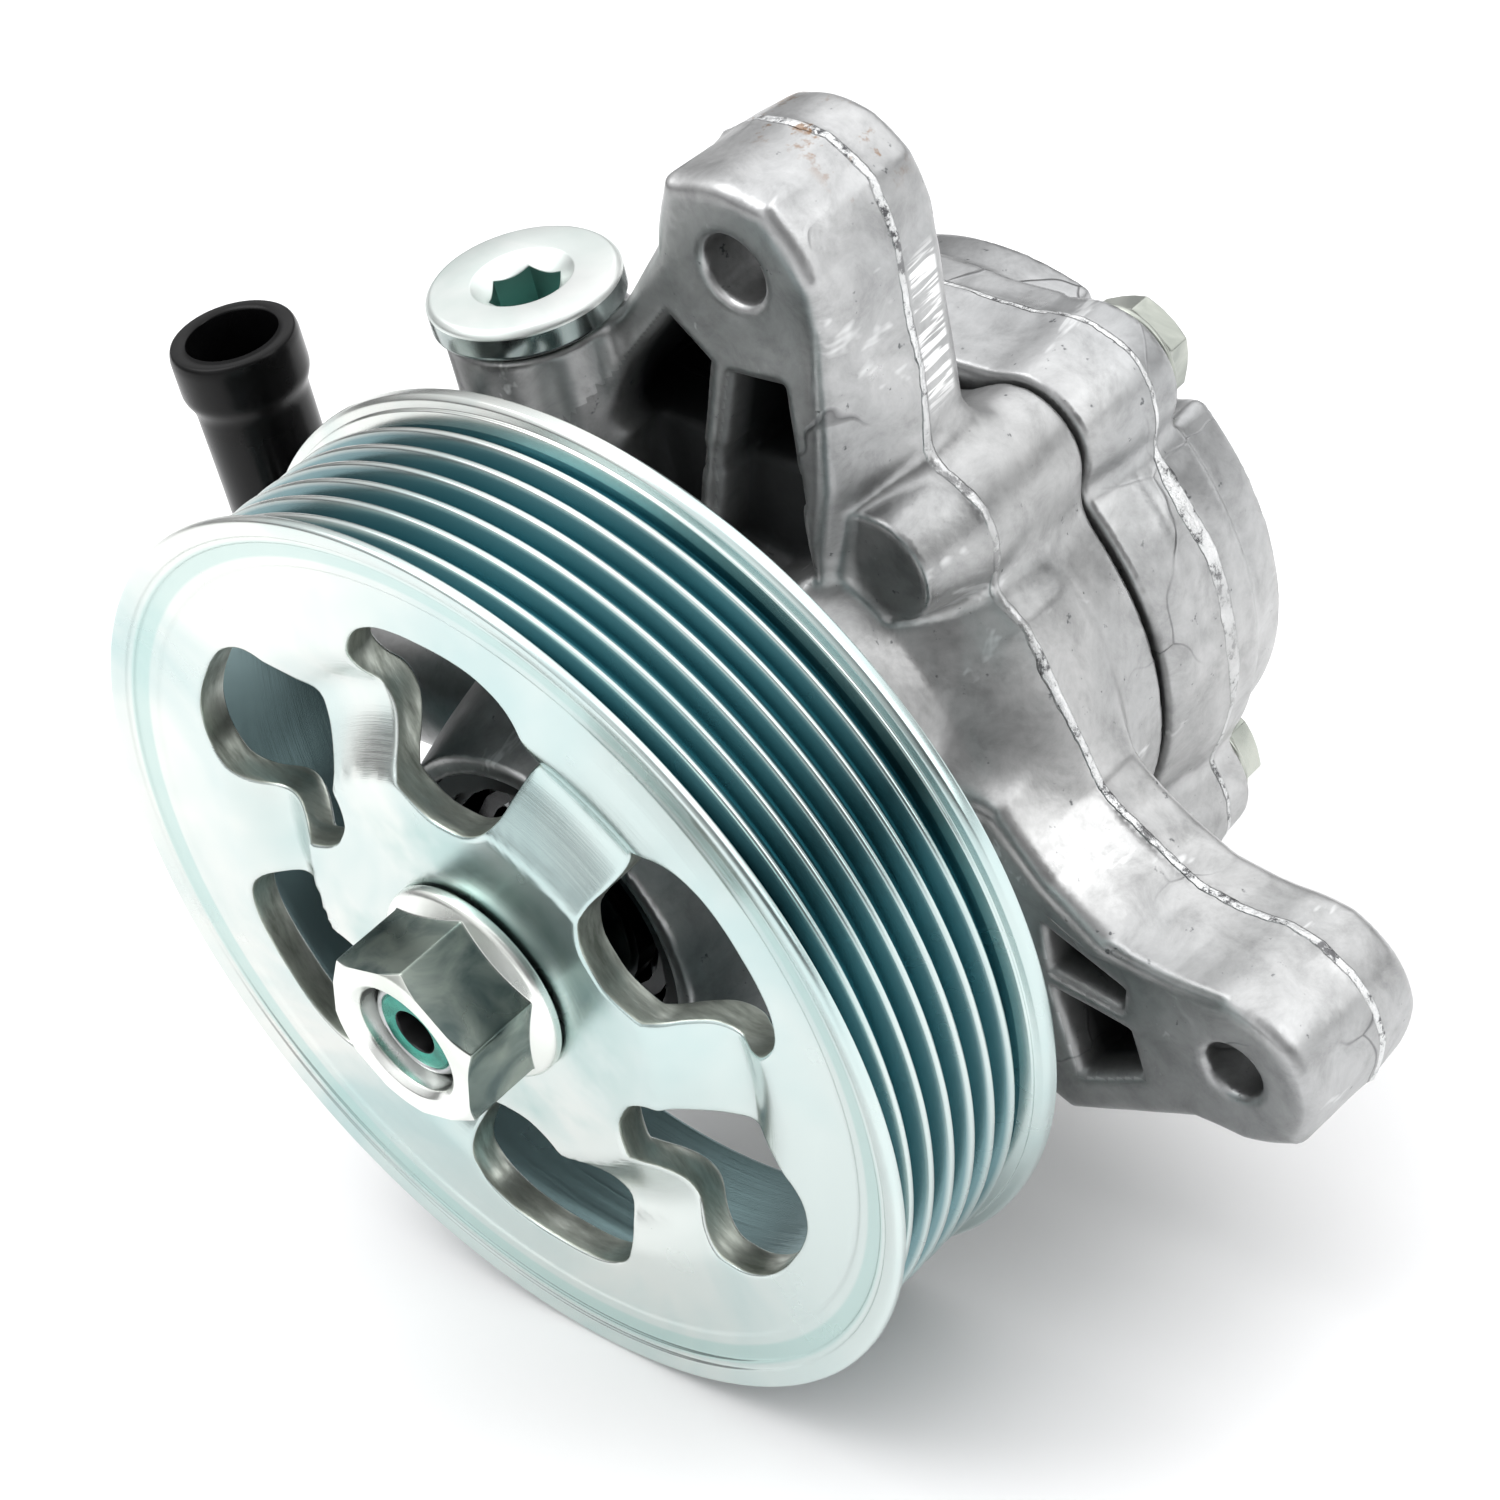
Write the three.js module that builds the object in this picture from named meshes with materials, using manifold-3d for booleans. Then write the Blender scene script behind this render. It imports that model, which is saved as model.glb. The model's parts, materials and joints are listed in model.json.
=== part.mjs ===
// Hydraulic vane pump for power steering, belt driven.
// Millimetres. +Y runs along the drive shaft from the pulley to the rear cover, +Z is up, parallel
// to the valve plug. The drawing origin is the centre of the pulley's front rim; the group is then
// moved so that the row origin is where the shaft axis crosses the plane of the mounting faces.

import * as THREE from 'three';
import { mergeVertices } from 'three/addons/utils/BufferGeometryUtils.js';
import Module from 'manifold-3d';

const wasm = await Module();
wasm.setup();

// ---- driving dimensions ------------------------------------------------------------------------

const GAP = 0.3; // clearance between pieces that touch

const MOUNT_FACE_Y = 47.5; // front faces of both mounting bosses
const BOSS_REAR_Y = 69;
const BOSS_R = 11.5;
const UPPER_BOSS = [16.9, 70.5];
const LOWER_BOSS = [67.3, -25];
const UPPER_HOLE_R = 4.4;
const LOWER_HOLE_R = 3.9;

const PULLEY_R = 61.3;
const PULLEY_REAR_R = 60.9;
const PULLEY_WIDTH = 28.5;
const GROOVE_COUNT = 7;
const GROOVE_PITCH = 3.56;
const FIRST_GROOVE_Y = 3.31;
const CREST_R = 58.9;
const GROOVE_BOTTOM_R = 56;
const RIM_INNER_R = 53;
const WEB_THICKNESS = 4.3;
const WINDOW_COUNT = 6;
const WINDOW_ANGLE = 23.43;
const HUB_R = 11.3;

const NOSE_Y = 10.4;
const NOSE_R = 22.6;
const BEARING_BORE_R = 20;
const BEARING_REAR_Y = 25.3;
const SEAL_BORE_R = 15;
const SEAL_REAR_Y = 34;
const PASSAGE_R = 9.2;
const CAVITY_Y = 57;
const CAVITY_R = 31.5;
const PARTING_Y = 61;
const PARTING_R = 39.4;
const SEAM_Y = 79.2;
const SEAM_R = 37.9;

const COVER_FRONT_Y = 79.5;
const COVER_R = 40;
const COVER_SEAT_Y = 96.5;
const COVER_REAR_Y = 105;
const DOME_R = 37.5;
const COVER_CAVITY_R = 30;
const COVER_FLOOR_Y = 92;
const BOLT_X = 24.6;
const BOLT_Z = 30.4;
const LUG_R = 7.9;

const SHAFT_R = 8.5;
const SHAFT_THREAD_R = 6.85;
const SHAFT_FRONT_Y = -11.5;
const ROTOR_SHAFT_R = 7.5;
const SHAFT_REAR_Y = 83;

const BALL_COUNT = 8;
const BALL_R = 3.1;
const BALL_PITCH_R = 14.25;
const BEARING_FRONT_Y = 13.2;
const BEARING_MID_Y = 19.15;

const ROTOR_R = 20.5;
const VANE_COUNT = 10;
const VANE_THICKNESS = 1.6;
const CAM_MINOR_R = 21;
const CAM_MAJOR_R = 23.4;
const ROTOR_FRONT_Y = 61.4;
const ROTOR_REAR_Y = 78.6;

const VALVE_X = -18;
const VALVE_Y = 47;
const VALVE_TOP_Z = 57;
const VALVE_BORE_R = 7.5;
const VALVE_FLOOR_Z = 16;
const TOWER_R = 10.6;
const PLUG_R = 11.7;
const PLUG_TOP_Z = 61.7;

const PIPE_X = -76;
const PIPE_Y = 45;
const PIPE_TOP_Z = 40;
const PIPE_R = 7.4;
const PIPE_BEND_R = 14;
const INLET_Z = -3;
const INLET_END_X = -60;

// ---- shape helpers -----------------------------------------------------------------------------

// A closed three.js geometry as a manifold solid, with its faces turned outwards.
function solid(geometry) {
  const plain = geometry.clone();
  for (const name of Object.keys(plain.attributes)) {
    if (name !== 'position') plain.deleteAttribute(name);
  }
  const merged = mergeVertices(plain, 1e-4);
  const p = new Float32Array(merged.attributes.position.array);
  const faces = [];
  let volume = 0;
  const index = merged.index.array;
  const [a, b, c] = [new THREE.Vector3(), new THREE.Vector3(), new THREE.Vector3()];
  for (let i = 0; i < index.length; i += 3) {
    const [u, v, w] = [index[i], index[i + 1], index[i + 2]];
    if (u === v || v === w || w === u) continue;
    faces.push(u, v, w);
    a.fromArray(p, 3 * u);
    b.fromArray(p, 3 * v);
    c.fromArray(p, 3 * w);
    volume += a.dot(b.cross(c));
  }
  if (volume < 0) faces.reverse();
  const mesh = new wasm.Mesh({ numProp: 3, vertProperties: p, triVerts: new Uint32Array(faces) });
  return new wasm.Manifold(mesh);
}

// A solid of revolution about the Y axis from [radius, y] points; the outline closes on itself
// unless it starts and ends on the axis.
function turned(points, segments = 40, startAngle = 0) {
  const outline = points.map(([r, y]) => new THREE.Vector2(r, y));
  const last = points.length - 1;
  if (points[0][0] > 0 || points[last][0] > 0) outline.push(outline[0].clone());
  return solid(new THREE.LatheGeometry(outline, segments, startAngle));
}

// A turned solid whose axis passes through (x, z).
const turnedAt = (x, z, points, segments) => turned(points, segments).translate([x, 0, z]);

// A plain disc or ring along Y.
function disc(r, y0, y1, segments = 32, bore = 0) {
  if (bore > 0) return turned([[bore, y0], [r, y0], [r, y1], [bore, y1]], segments);
  return turned([[0, y0], [r, y0], [r, y1], [0, y1]], segments);
}

// A turned solid about a vertical axis from [radius, z] points.
function upright(x, y, points, segments) {
  return turned(points, segments).rotate([90, 0, 0]).translate([x, y, 0]);
}

// An outline in X and Z, extruded from y0 to y1.
function plate(shape, y0, y1, curveSegments = 6) {
  const options = { depth: y1 - y0, bevelEnabled: false, curveSegments };
  const geometry = new THREE.ExtrudeGeometry(shape, options);
  geometry.rotateX(Math.PI / 2);
  geometry.translate(0, y1, 0);
  return solid(geometry);
}

// A polygon with rounded corners: each point is [x, z, corner radius].
function rounded(points) {
  const shape = new THREE.Shape();
  const count = points.length;
  points.forEach(([x, z, r = 0], i) => {
    const here = new THREE.Vector2(x, z);
    const before = new THREE.Vector2(...points[(i + count - 1) % count].slice(0, 2));
    const after = new THREE.Vector2(...points[(i + 1) % count].slice(0, 2));
    const start = here.clone().add(before.sub(here).setLength(r || 1e-6));
    const end = here.clone().add(after.sub(here).setLength(r || 1e-6));
    if (i === 0) shape.moveTo(start.x, start.y);
    else shape.lineTo(start.x, start.y);
    if (r > 0) shape.quadraticCurveTo(x, z, end.x, end.y);
  });
  shape.closePath();
  return shape;
}

// A circle swept along a path.
function tube(path, radius, steps, sides) {
  const circle = new THREE.Shape();
  for (let i = 0; i < sides; i += 1) {
    const t = (2 * Math.PI * i) / sides;
    if (i === 0) circle.moveTo(radius, 0);
    else circle.lineTo(radius * Math.cos(t), radius * Math.sin(t));
  }
  circle.closePath();
  return solid(new THREE.ExtrudeGeometry(circle, { steps, extrudePath: path, bevelEnabled: false }));
}

// A ring of round section about Y.
function oRing(major, minor, y, segments = 36) {
  const section = [];
  for (let i = 0; i < 6; i += 1) {
    const t = (Math.PI * i) / 3;
    section.push([major + minor * Math.cos(t), y + minor * Math.sin(t)]);
  }
  return turned(section, segments);
}

const join = (first, ...rest) => rest.reduce((a, b) => a.add(b), first);
const polar = (r, degrees) => {
  const t = THREE.MathUtils.degToRad(degrees);
  return [r * Math.cos(t), r * Math.sin(t)];
};

// A coil spring along Y, with its ends cut square.
class Helix extends THREE.Curve {
  constructor(radius, turns, length) {
    super();
    Object.assign(this, { radius, turns, length });
  }

  getPoint(t, target = new THREE.Vector3()) {
    const angle = 2 * Math.PI * this.turns * t;
    return target.set(this.radius * Math.cos(angle), this.length * t, this.radius * Math.sin(angle));
  }
}

function coil(radius, wire, turns, y0, y1) {
  const helix = new Helix(radius, turns, y1 - y0 - 2 * wire);
  return tube(helix, wire, Math.round(turns * 9), 5).translate([0, y0 + wire, 0]);
}

// ---- materials and the scene group -------------------------------------------------------------

const FINISHES = {
  casting: [0x9b9d9c, 0.5, 0.7],
  zinc: [0xdfe2df, 0.3, 0.85],
  steel: [0x8d9091, 0.35, 0.9],
  blackPlastic: [0x101112, 0.3, 0.0],
  rubber: [0x151515, 0.85, 0.0],
};

const pump = new THREE.Group();
pump.position.set(0, -MOUNT_FACE_Y, 0);

// Adds a named mesh, with its finish, to the pump or to a group inside it.
function piece(name, shape, finish, parent = pump) {
  const { numProp, vertProperties, triVerts } = shape.getMesh();
  const geometry = new THREE.BufferGeometry();
  const positions = new Float32Array((vertProperties.length / numProp) * 3);
  for (let i = 0; i < positions.length / 3; i += 1) {
    for (let k = 0; k < 3; k += 1) positions[3 * i + k] = vertProperties[numProp * i + k];
  }
  geometry.setAttribute('position', new THREE.BufferAttribute(positions, 3));
  geometry.setIndex(Array.from(triVerts));
  geometry.computeVertexNormals();
  const [color, roughness, metalness] = FINISHES[finish];
  const material = new THREE.MeshStandardMaterial({ color, roughness, metalness });
  const mesh = new THREE.Mesh(geometry, material);
  mesh.name = name;
  parent.add(mesh);
  return mesh;
}

// ---- pulley and hub nut ------------------------------------------------------------------------

// One crest and one groove bottom, repeated along the rim.
function grooveOutline() {
  const outline = [];
  for (let i = 0; i < GROOVE_COUNT; i += 1) {
    const y = FIRST_GROOVE_Y + GROOVE_PITCH * i;
    outline.push([GROOVE_BOTTOM_R, y]);
    if (i < GROOVE_COUNT - 1) outline.push([CREST_R, y + GROOVE_PITCH / 2]);
  }
  return outline;
}

function pulleySolid() {
  const outline = [
    [7.15, -0.7], [27, -0.7], [31, 2.4], [34.5, 4.3], [38, 4.1], [43, 1.6], [54.2, 1.7],
    [60.6, 0], [PULLEY_R, 0.7], [60, 1.8],
    ...grooveOutline(),
    [59.4, 26], [PULLEY_REAR_R, 26.6], [PULLEY_REAR_R, PULLEY_WIDTH], [RIM_INNER_R, PULLEY_WIDTH],
    [RIM_INNER_R, 8.5], [50, 1.7 + WEB_THICKNESS], [43, 1.6 + WEB_THICKNESS],
    [37, 4 + WEB_THICKNESS], [31, 2 + WEB_THICKNESS], [26, WEB_THICKNESS - 0.7],
    [HUB_R, WEB_THICKNESS - 0.7], [HUB_R, 12.9], [SHAFT_R + GAP, 12.9], [SHAFT_R + GAP, 3.3],
    [7.15, 3.3],
  ];
  return turned(outline, 42);
}

// A window in the web: wide near the middle, with rounded corners, drawn about the +X direction.
function windowShape() {
  const edge = [[23, 8.2], [28, 15.7], [34, 17.3], [40, 19.1], [44.5, 16.8], [48, 9.5]];
  const points = edge.map(([r, half]) => polar(r, half));
  const mirrored = edge.map(([r, half]) => polar(r, -half)).reverse();
  return new THREE.Shape([...mirrored, ...points].map(([x, z]) => new THREE.Vector2(x, z)));
}

const opening = plate(windowShape(), -5, 15);
let pulley = pulleySolid();
for (let i = 0; i < WINDOW_COUNT; i += 1) {
  const angle = WINDOW_ANGLE + (360 / WINDOW_COUNT) * i;
  pulley = pulley.subtract(opening.rotate([0, -angle, 0]));
}
piece('pulley', pulley, 'zinc');

const nutBody = turned([
  [7.15, -1], [13.3, -1], [13.3, -2.4], [12.1, -3.6], [12.1, -12.8], [10.9, -13.8], [7.15, -13.8],
], 24);
const hexagon = new THREE.Shape();
for (let i = 0; i < 6; i += 1) {
  const [x, z] = polar(12.12, 13 + 60 * i);
  if (i === 0) hexagon.moveTo(x, z);
  else hexagon.lineTo(x, z);
}
hexagon.closePath();
const nut = nutBody.intersect(join(plate(hexagon, -20, -3.4), disc(14, -3.5, 0, 24)));
piece('pulley_nut', nut, 'zinc');

// ---- drive shaft, bearing and seal -------------------------------------------------------------

const shaft = turned([
  [0, -6], [2.9, -7.4], [2.9, SHAFT_FRONT_Y], [5.2, SHAFT_FRONT_Y], [SHAFT_THREAD_R, -9.9],
  [SHAFT_THREAD_R, 3.6], [SHAFT_R, 3.6], [SHAFT_R, 36], [ROTOR_SHAFT_R, 37],
  [ROTOR_SHAFT_R, SHAFT_REAR_Y], [0, SHAFT_REAR_Y],
], 24);
piece('drive_shaft', shaft, 'steel');

// A raceway groove: an arc around the ball, cut into the ring's face.
function raceway(facing, rim) {
  const r = BALL_R + 0.7;
  const half = Math.acos((facing * (rim - BALL_PITCH_R)) / r);
  return [-1, 0, 1].map((k) => [
    BALL_PITCH_R + facing * r * Math.cos(k * half),
    BEARING_MID_Y - facing * r * Math.sin(k * half),
  ]);
}

const rearFace = BEARING_MID_Y * 2 - BEARING_FRONT_Y;
piece('bearing_inner_race', turned([
  [SHAFT_R + GAP, BEARING_FRONT_Y], [SHAFT_R + GAP, rearFace], [12, rearFace],
  ...raceway(-1, 12).reverse(), [12, BEARING_FRONT_Y],
], 24), 'steel');
piece('bearing_outer_race', turned([
  [BEARING_BORE_R - GAP, BEARING_FRONT_Y], [BEARING_BORE_R - GAP, rearFace], [16.5, rearFace],
  ...raceway(1, 16.5), [16.5, BEARING_FRONT_Y],
], 28), 'steel');

const ballShape = solid(new THREE.IcosahedronGeometry(BALL_R, 1));
const cageHole = turned([[0, -8], [BALL_R + 0.2, -8], [BALL_R + 0.2, 8], [0, 8]], 8)
  .rotate([0, 0, 90]);
let cage = disc(15.2, BEARING_MID_Y - 3.9, BEARING_MID_Y + 3.9, 24, 13.3);
for (let i = 0; i < BALL_COUNT; i += 1) {
  const angle = (360 / BALL_COUNT) * i;
  const [x, z] = polar(BALL_PITCH_R, angle);
  piece(`bearing_ball_${i + 1}`, ballShape.translate([x, BEARING_MID_Y, z]), 'steel');
  cage = cage.subtract(cageHole.translate([BALL_PITCH_R, BEARING_MID_Y, 0]).rotate([0, -angle, 0]));
}
piece('bearing_cage', cage, 'steel');

// An open snap ring in the groove in front of the bearing.
const snapGap = solid(new THREE.BoxGeometry(6, 4, 8)).translate([0, 12.2, -19]);
piece('bearing_snap_ring', disc(20.7, 11.6, 12.9, 28, 17.6).subtract(snapGap), 'steel');

piece('shaft_seal', turned([
  [SHAFT_R + GAP, 28.6], [11.6, 25.7], [SEAL_BORE_R - GAP, 25.7],
  [SEAL_BORE_R - GAP, SEAL_REAR_Y - GAP], [13.4, SEAL_REAR_Y - GAP], [13.4, 27.6], [10.6, 28.4],
  [9.4, 30.2],
], 24), 'rubber');

// ---- pumping group -----------------------------------------------------------------------------

// The cam track is an ellipse with its long axis along Z; the dowel pins stand where the wall is
// thick, along X.
const track = new THREE.Shape();
track.absellipse(0, 0, CAM_MINOR_R, CAM_MAJOR_R, 0, 2 * Math.PI, false, 0);
const DOWEL_X = 26.3;
const dowelHoles = join(...[-1, 1].map((side) => disc(2.3, 50, 90, 10).translate([side * DOWEL_X, 0, 0])));
const portHoles = join(...[-1, 1].map((side) => disc(2.2, 50, 90, 8).translate([0, 0, side * 21.5])));

piece('cam_ring', disc(CAVITY_R - GAP, 61.3, 79, 36)
  .subtract(plate(track, 60, 80, 18))
  .subtract(dowelHoles), 'steel');
piece('front_side_plate', disc(CAVITY_R - GAP, CAVITY_Y + GAP, 61, 28, PASSAGE_R)
  .subtract(join(dowelHoles, portHoles)), 'steel');
piece('pressure_plate', turned([
  [7.8, 79.3], [COVER_CAVITY_R - GAP, 79.3], [COVER_CAVITY_R - GAP, 85], [18, 85], [16.5, 83.5],
  [12, 83.5], [10.5, 85], [7.8, 85],
], 28).subtract(join(dowelHoles, portHoles)), 'steel');
[-1, 1].forEach((side, i) => {
  const pin = turned([[0, 57.6], [2, 57.6], [2, 84], [0, 84]], 10);
  piece(`dowel_pin_${i + 1}`, pin.translate([side * DOWEL_X, 0, 0]), 'steel');
});
piece('preload_spring', coil(14.2, 1, 2, 83.8, COVER_FLOOR_Y - GAP), 'steel');

const slot = solid(new THREE.BoxGeometry(14, 30, VANE_THICKNESS + 2 * GAP)).translate([18.4, 70, 0]);
const vaneLength = 7.2;
const vaneTip = CAM_MINOR_R - GAP;
const vane = solid(new THREE.BoxGeometry(vaneLength, ROTOR_REAR_Y - ROTOR_FRONT_Y, VANE_THICKNESS))
  .translate([vaneTip - vaneLength / 2, (ROTOR_FRONT_Y + ROTOR_REAR_Y) / 2, 0])
  .intersect(disc(vaneTip, ROTOR_FRONT_Y - 1, ROTOR_REAR_Y + 1, 120));
let rotor = disc(ROTOR_R, ROTOR_FRONT_Y, ROTOR_REAR_Y, 30, ROTOR_SHAFT_R + GAP);
for (let i = 0; i < VANE_COUNT; i += 1) {
  const angle = 18 + (360 / VANE_COUNT) * i;
  rotor = rotor.subtract(slot.rotate([0, -angle, 0]));
  piece(`vane_${i + 1}`, vane.rotate([0, -angle, 0]), 'steel');
}
piece('rotor', rotor, 'steel');

// ---- front housing -----------------------------------------------------------------------------

const LUGS = [[1, 1], [1, -1], [-1, -1], [-1, 1]].map(([sx, sz]) => [sx * BOLT_X, sz * BOLT_Z]);

const barrel = turned([
  [0, NOSE_Y], [NOSE_R, NOSE_Y], [28, 31], [31, 43], [33, 51], [36.6, 57],
  [PARTING_R, PARTING_Y], [SEAM_R, SEAM_Y], [0, SEAM_Y],
], 40);

const lug = turned([
  [0, 51.5], [7, 51.5], [9.6, PARTING_Y], [LUG_R, SEAM_Y], [0, SEAM_Y],
], 16);

// A prism whose section grows from the front face to the parting plane and shrinks behind it.
function drafted(shape, front, middle, rear, spread) {
  const centre = new THREE.Box2().setFromPoints(shape.getPoints(3)).getCenter(new THREE.Vector2());
  const options = { depth: 1, bevelEnabled: false, curveSegments: 3 };
  const grow = (factor) => (y, base) => {
    const geometry = new THREE.ExtrudeGeometry(shape, options);
    geometry.rotateX(Math.PI / 2);
    const position = geometry.attributes.position;
    for (let i = 0; i < position.count; i += 1) {
      const atFar = position.getY(i) > -0.5;
      const [s, level] = atFar ? [factor[1], y] : [factor[0], base];
      const x = centre.x + (position.getX(i) - centre.x) * s;
      const z = centre.y + (position.getZ(i) - centre.y) * s;
      position.setXYZ(i, x, level, z);
    }
    return solid(geometry);
  };
  return join(grow([1, spread])(middle, front), grow([spread, 1])(rear, middle));
}

const upperWeb = rounded([
  [9, 79, 7], [25, 78, 7], [27, 64, 4], [24, 50, 6], [26.5, 34, 5], [10, 18], [-16, 24],
  [-19.5, 42, 4], [-7, 56, 6], [2, 66, 5],
]);
const lowerWeb = rounded([
  [26, 6], [38, 2, 4], [51, -13.2, 8], [68, -14, 5], [78, -22, 6], [76, -35, 6], [60, -35.8, 6],
  [40, -45, 6], [22, -34], [16, -12],
]);
const bossOutline = [
  [0, MOUNT_FACE_Y], [BOSS_R - 1.2, MOUNT_FACE_Y], [BOSS_R, PARTING_Y], [BOSS_R - 0.6, BOSS_REAR_Y],
  [0, BOSS_REAR_Y],
];

const tower = upright(VALVE_X, VALVE_Y, [
  [0, -4], [TOWER_R + 0.6, -4], [TOWER_R, VALVE_TOP_Z], [0, VALVE_TOP_Z],
], 24);
const inlet = turned([
  [0, INLET_END_X], [11, INLET_END_X], [12.2, -20], [0, -20],
], 24).rotate([0, 0, -90]).translate([0, PIPE_Y, INLET_Z]);

// Two deep pockets in the upper bracket, with a slender rib left between them. Each carries on
// below as a shallower slope, down to the nose.
const leftPocket = rounded([[4.5, 62, 2], [9.5, 57, 2], [2.5, 39, 2], [-14.5, 43, 2], [-3.5, 54.5, 2]]);
const rightPocket = rounded([[12.2, 56, 2], [20.5, 56.5, 3], [18, 38, 2], [5.5, 40, 2]]);
const leftSlope = rounded([[3.8, 44], [-13.5, 44], [-17, 34, 2], [-8, 27, 2], [-1, 28, 2]]);
const rightSlope = rounded([[18.4, 44], [7.4, 44], [2, 28, 2], [10, 26, 2], [17, 29, 2]]);
const armPocketTop = rounded([[42, -13, 1.5], [53, -18.5, 2], [52, -22.5, 1.5], [41.5, -20.5, 1.5]]);
const armPocketBottom = rounded([[41, -23, 1.5], [52.5, -25, 1.5], [53, -32, 2], [43, -36.5, 1.5]]);
const pockets = [
  plate(leftPocket, 40, 66, 2), plate(rightPocket, 40, 66, 2),
  plate(leftSlope, 30, 53, 2), plate(rightSlope, 30, 53, 2),
  plate(armPocketTop, 40, 66, 2), plate(armPocketBottom, 40, 66, 2),
];

let housing = join(
  barrel,
  ...LUGS.map(([x, z]) => lug.translate([x, 0, z])),
  drafted(upperWeb, MOUNT_FACE_Y, PARTING_Y, BOSS_REAR_Y, 1.05),
  drafted(lowerWeb, MOUNT_FACE_Y, PARTING_Y, BOSS_REAR_Y, 1.03),
  turnedAt(...UPPER_BOSS, bossOutline, 24),
  turnedAt(...LOWER_BOSS, bossOutline, 24),
);
housing = join(pockets.reduce((body, pocket) => body.subtract(pocket), housing), tower, inlet);

const mainBore = turned([
  [0, NOSE_Y - 1], [BEARING_BORE_R, NOSE_Y - 1], [BEARING_BORE_R, 11.3], [21, 11.3], [21, BEARING_FRONT_Y],
  [BEARING_BORE_R, BEARING_FRONT_Y], [BEARING_BORE_R, BEARING_REAR_Y], [SEAL_BORE_R, BEARING_REAR_Y],
  [SEAL_BORE_R, SEAL_REAR_Y], [PASSAGE_R, SEAL_REAR_Y], [PASSAGE_R, CAVITY_Y],
  [CAVITY_R, CAVITY_Y], [CAVITY_R, 76.9], [34, 76.9], [34, SEAM_Y + 1], [0, SEAM_Y + 1],
], 36);
const valveBore = upright(VALVE_X, VALVE_Y, [
  [0, VALVE_FLOOR_Z - 2], [VALVE_BORE_R, VALVE_FLOOR_Z], [VALVE_BORE_R, 54.6], [9.7, 54.6],
  [9.7, VALVE_TOP_Z + 1], [0, VALVE_TOP_Z + 1],
], 20);
const inletBore = turned([
  [0, INLET_END_X - 1], [9.4, INLET_END_X - 1], [9.4, INLET_END_X + 2.4], [PIPE_R + GAP, INLET_END_X + 2.4],
  [PIPE_R + GAP, -48], [5.5, -46], [5.5, -33], [0, -31],
], 18).rotate([0, 0, -90]).translate([0, PIPE_Y, INLET_Z]);
const lugHole = disc(4.3, 58.5, SEAM_Y + 1, 12);
const holes = [
  mainBore, valveBore, inletBore,
  ...LUGS.map(([x, z]) => lugHole.translate([x, 0, z])),
  turnedAt(...UPPER_BOSS, [
    [0, 40], [5.2, 40], [5.2, MOUNT_FACE_Y], [UPPER_HOLE_R, MOUNT_FACE_Y + 0.8], [UPPER_HOLE_R, 76],
    [0, 76],
  ], 16),
  turnedAt(...LOWER_BOSS, [
    [0, 40], [4.7, 40], [4.7, MOUNT_FACE_Y], [LOWER_HOLE_R, MOUNT_FACE_Y + 0.8], [LOWER_HOLE_R, 76],
    [0, 76],
  ], 16),
];
housing = holes.reduce((body, hole) => body.subtract(hole), housing);
piece('front_housing', housing, 'casting');

// ---- rear cover, its seal and its bolts --------------------------------------------------------

// Half of the straight-sided belt that joins each pair of lugs to the round cover.
const flange = (r, lugR, y0, y1) => join(
  disc(r, y0, y1, 40),
  ...LUGS.map(([x, z]) => disc(lugR, y0, y1, 16).translate([x, 0, z])),
  plate(rounded([[-BOLT_X, BOLT_Z], [0, 20], [BOLT_X, BOLT_Z], [BOLT_X, BOLT_Z + lugR - 0.2],
    [-BOLT_X, BOLT_Z + lugR - 0.2]]), y0, y1),
);
const coverCut = turned([
  [0, 79], [COVER_CAVITY_R, 79], [COVER_CAVITY_R, COVER_FLOOR_Y], [0, COVER_FLOOR_Y],
], 32);
const dome = turned([
  [0, 90], [39, 90], [38.6, COVER_SEAT_Y], [DOME_R, 104], [DOME_R - 1.5, COVER_REAR_Y],
  [0, COVER_REAR_Y],
], 40);
const seat = disc(9.4, COVER_SEAT_Y, COVER_REAR_Y + 1, 16);
const boltHole = disc(4.3, 70, 100, 12);
let cover = join(
  flange(SEAM_R + 0.4, LUG_R + 0.3, COVER_FRONT_Y, 85.5),
  flange(COVER_R, 9.2, 85.5, COVER_SEAT_Y),
  dome,
);
for (const [x, z] of LUGS) {
  cover = cover.subtract(seat.translate([x, 0, z])).subtract(boltHole.translate([x, 0, z]));
}
piece('rear_cover', cover.subtract(coverCut), 'casting');
piece('cover_seal', oRing(32.75, 0.95, 78.1, 28), 'rubber');

// A flanged hexagon bolt along Y, head to the rear.
const head = new THREE.Shape();
for (let i = 0; i < 6; i += 1) {
  const [x, z] = polar(6.9, 60 * i);
  if (i === 0) head.moveTo(x, z);
  else head.lineTo(x, z);
}
head.closePath();
const HEAD_Y = COVER_SEAT_Y + GAP;
const boltHead = join(
  turned([[0, HEAD_Y], [7.6, HEAD_Y], [7.6, HEAD_Y + 1], [6.4, HEAD_Y + 1.8], [0, HEAD_Y + 1.8]], 16),
  plate(head, HEAD_Y + 1, HEAD_Y + 5.3),
);
const shank = turned([[0, 60], [4, 60], [4, HEAD_Y + 0.5], [0, HEAD_Y + 0.5]], 12);
LUGS.forEach(([x, z], i) => {
  const turn = boltHead.rotate([0, 17 + 25 * i, 0]);
  piece(`cover_bolt_${i + 1}`, join(turn, shank).translate([x, 0, z]), 'zinc');
});

// ---- flow control valve ------------------------------------------------------------------------

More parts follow.
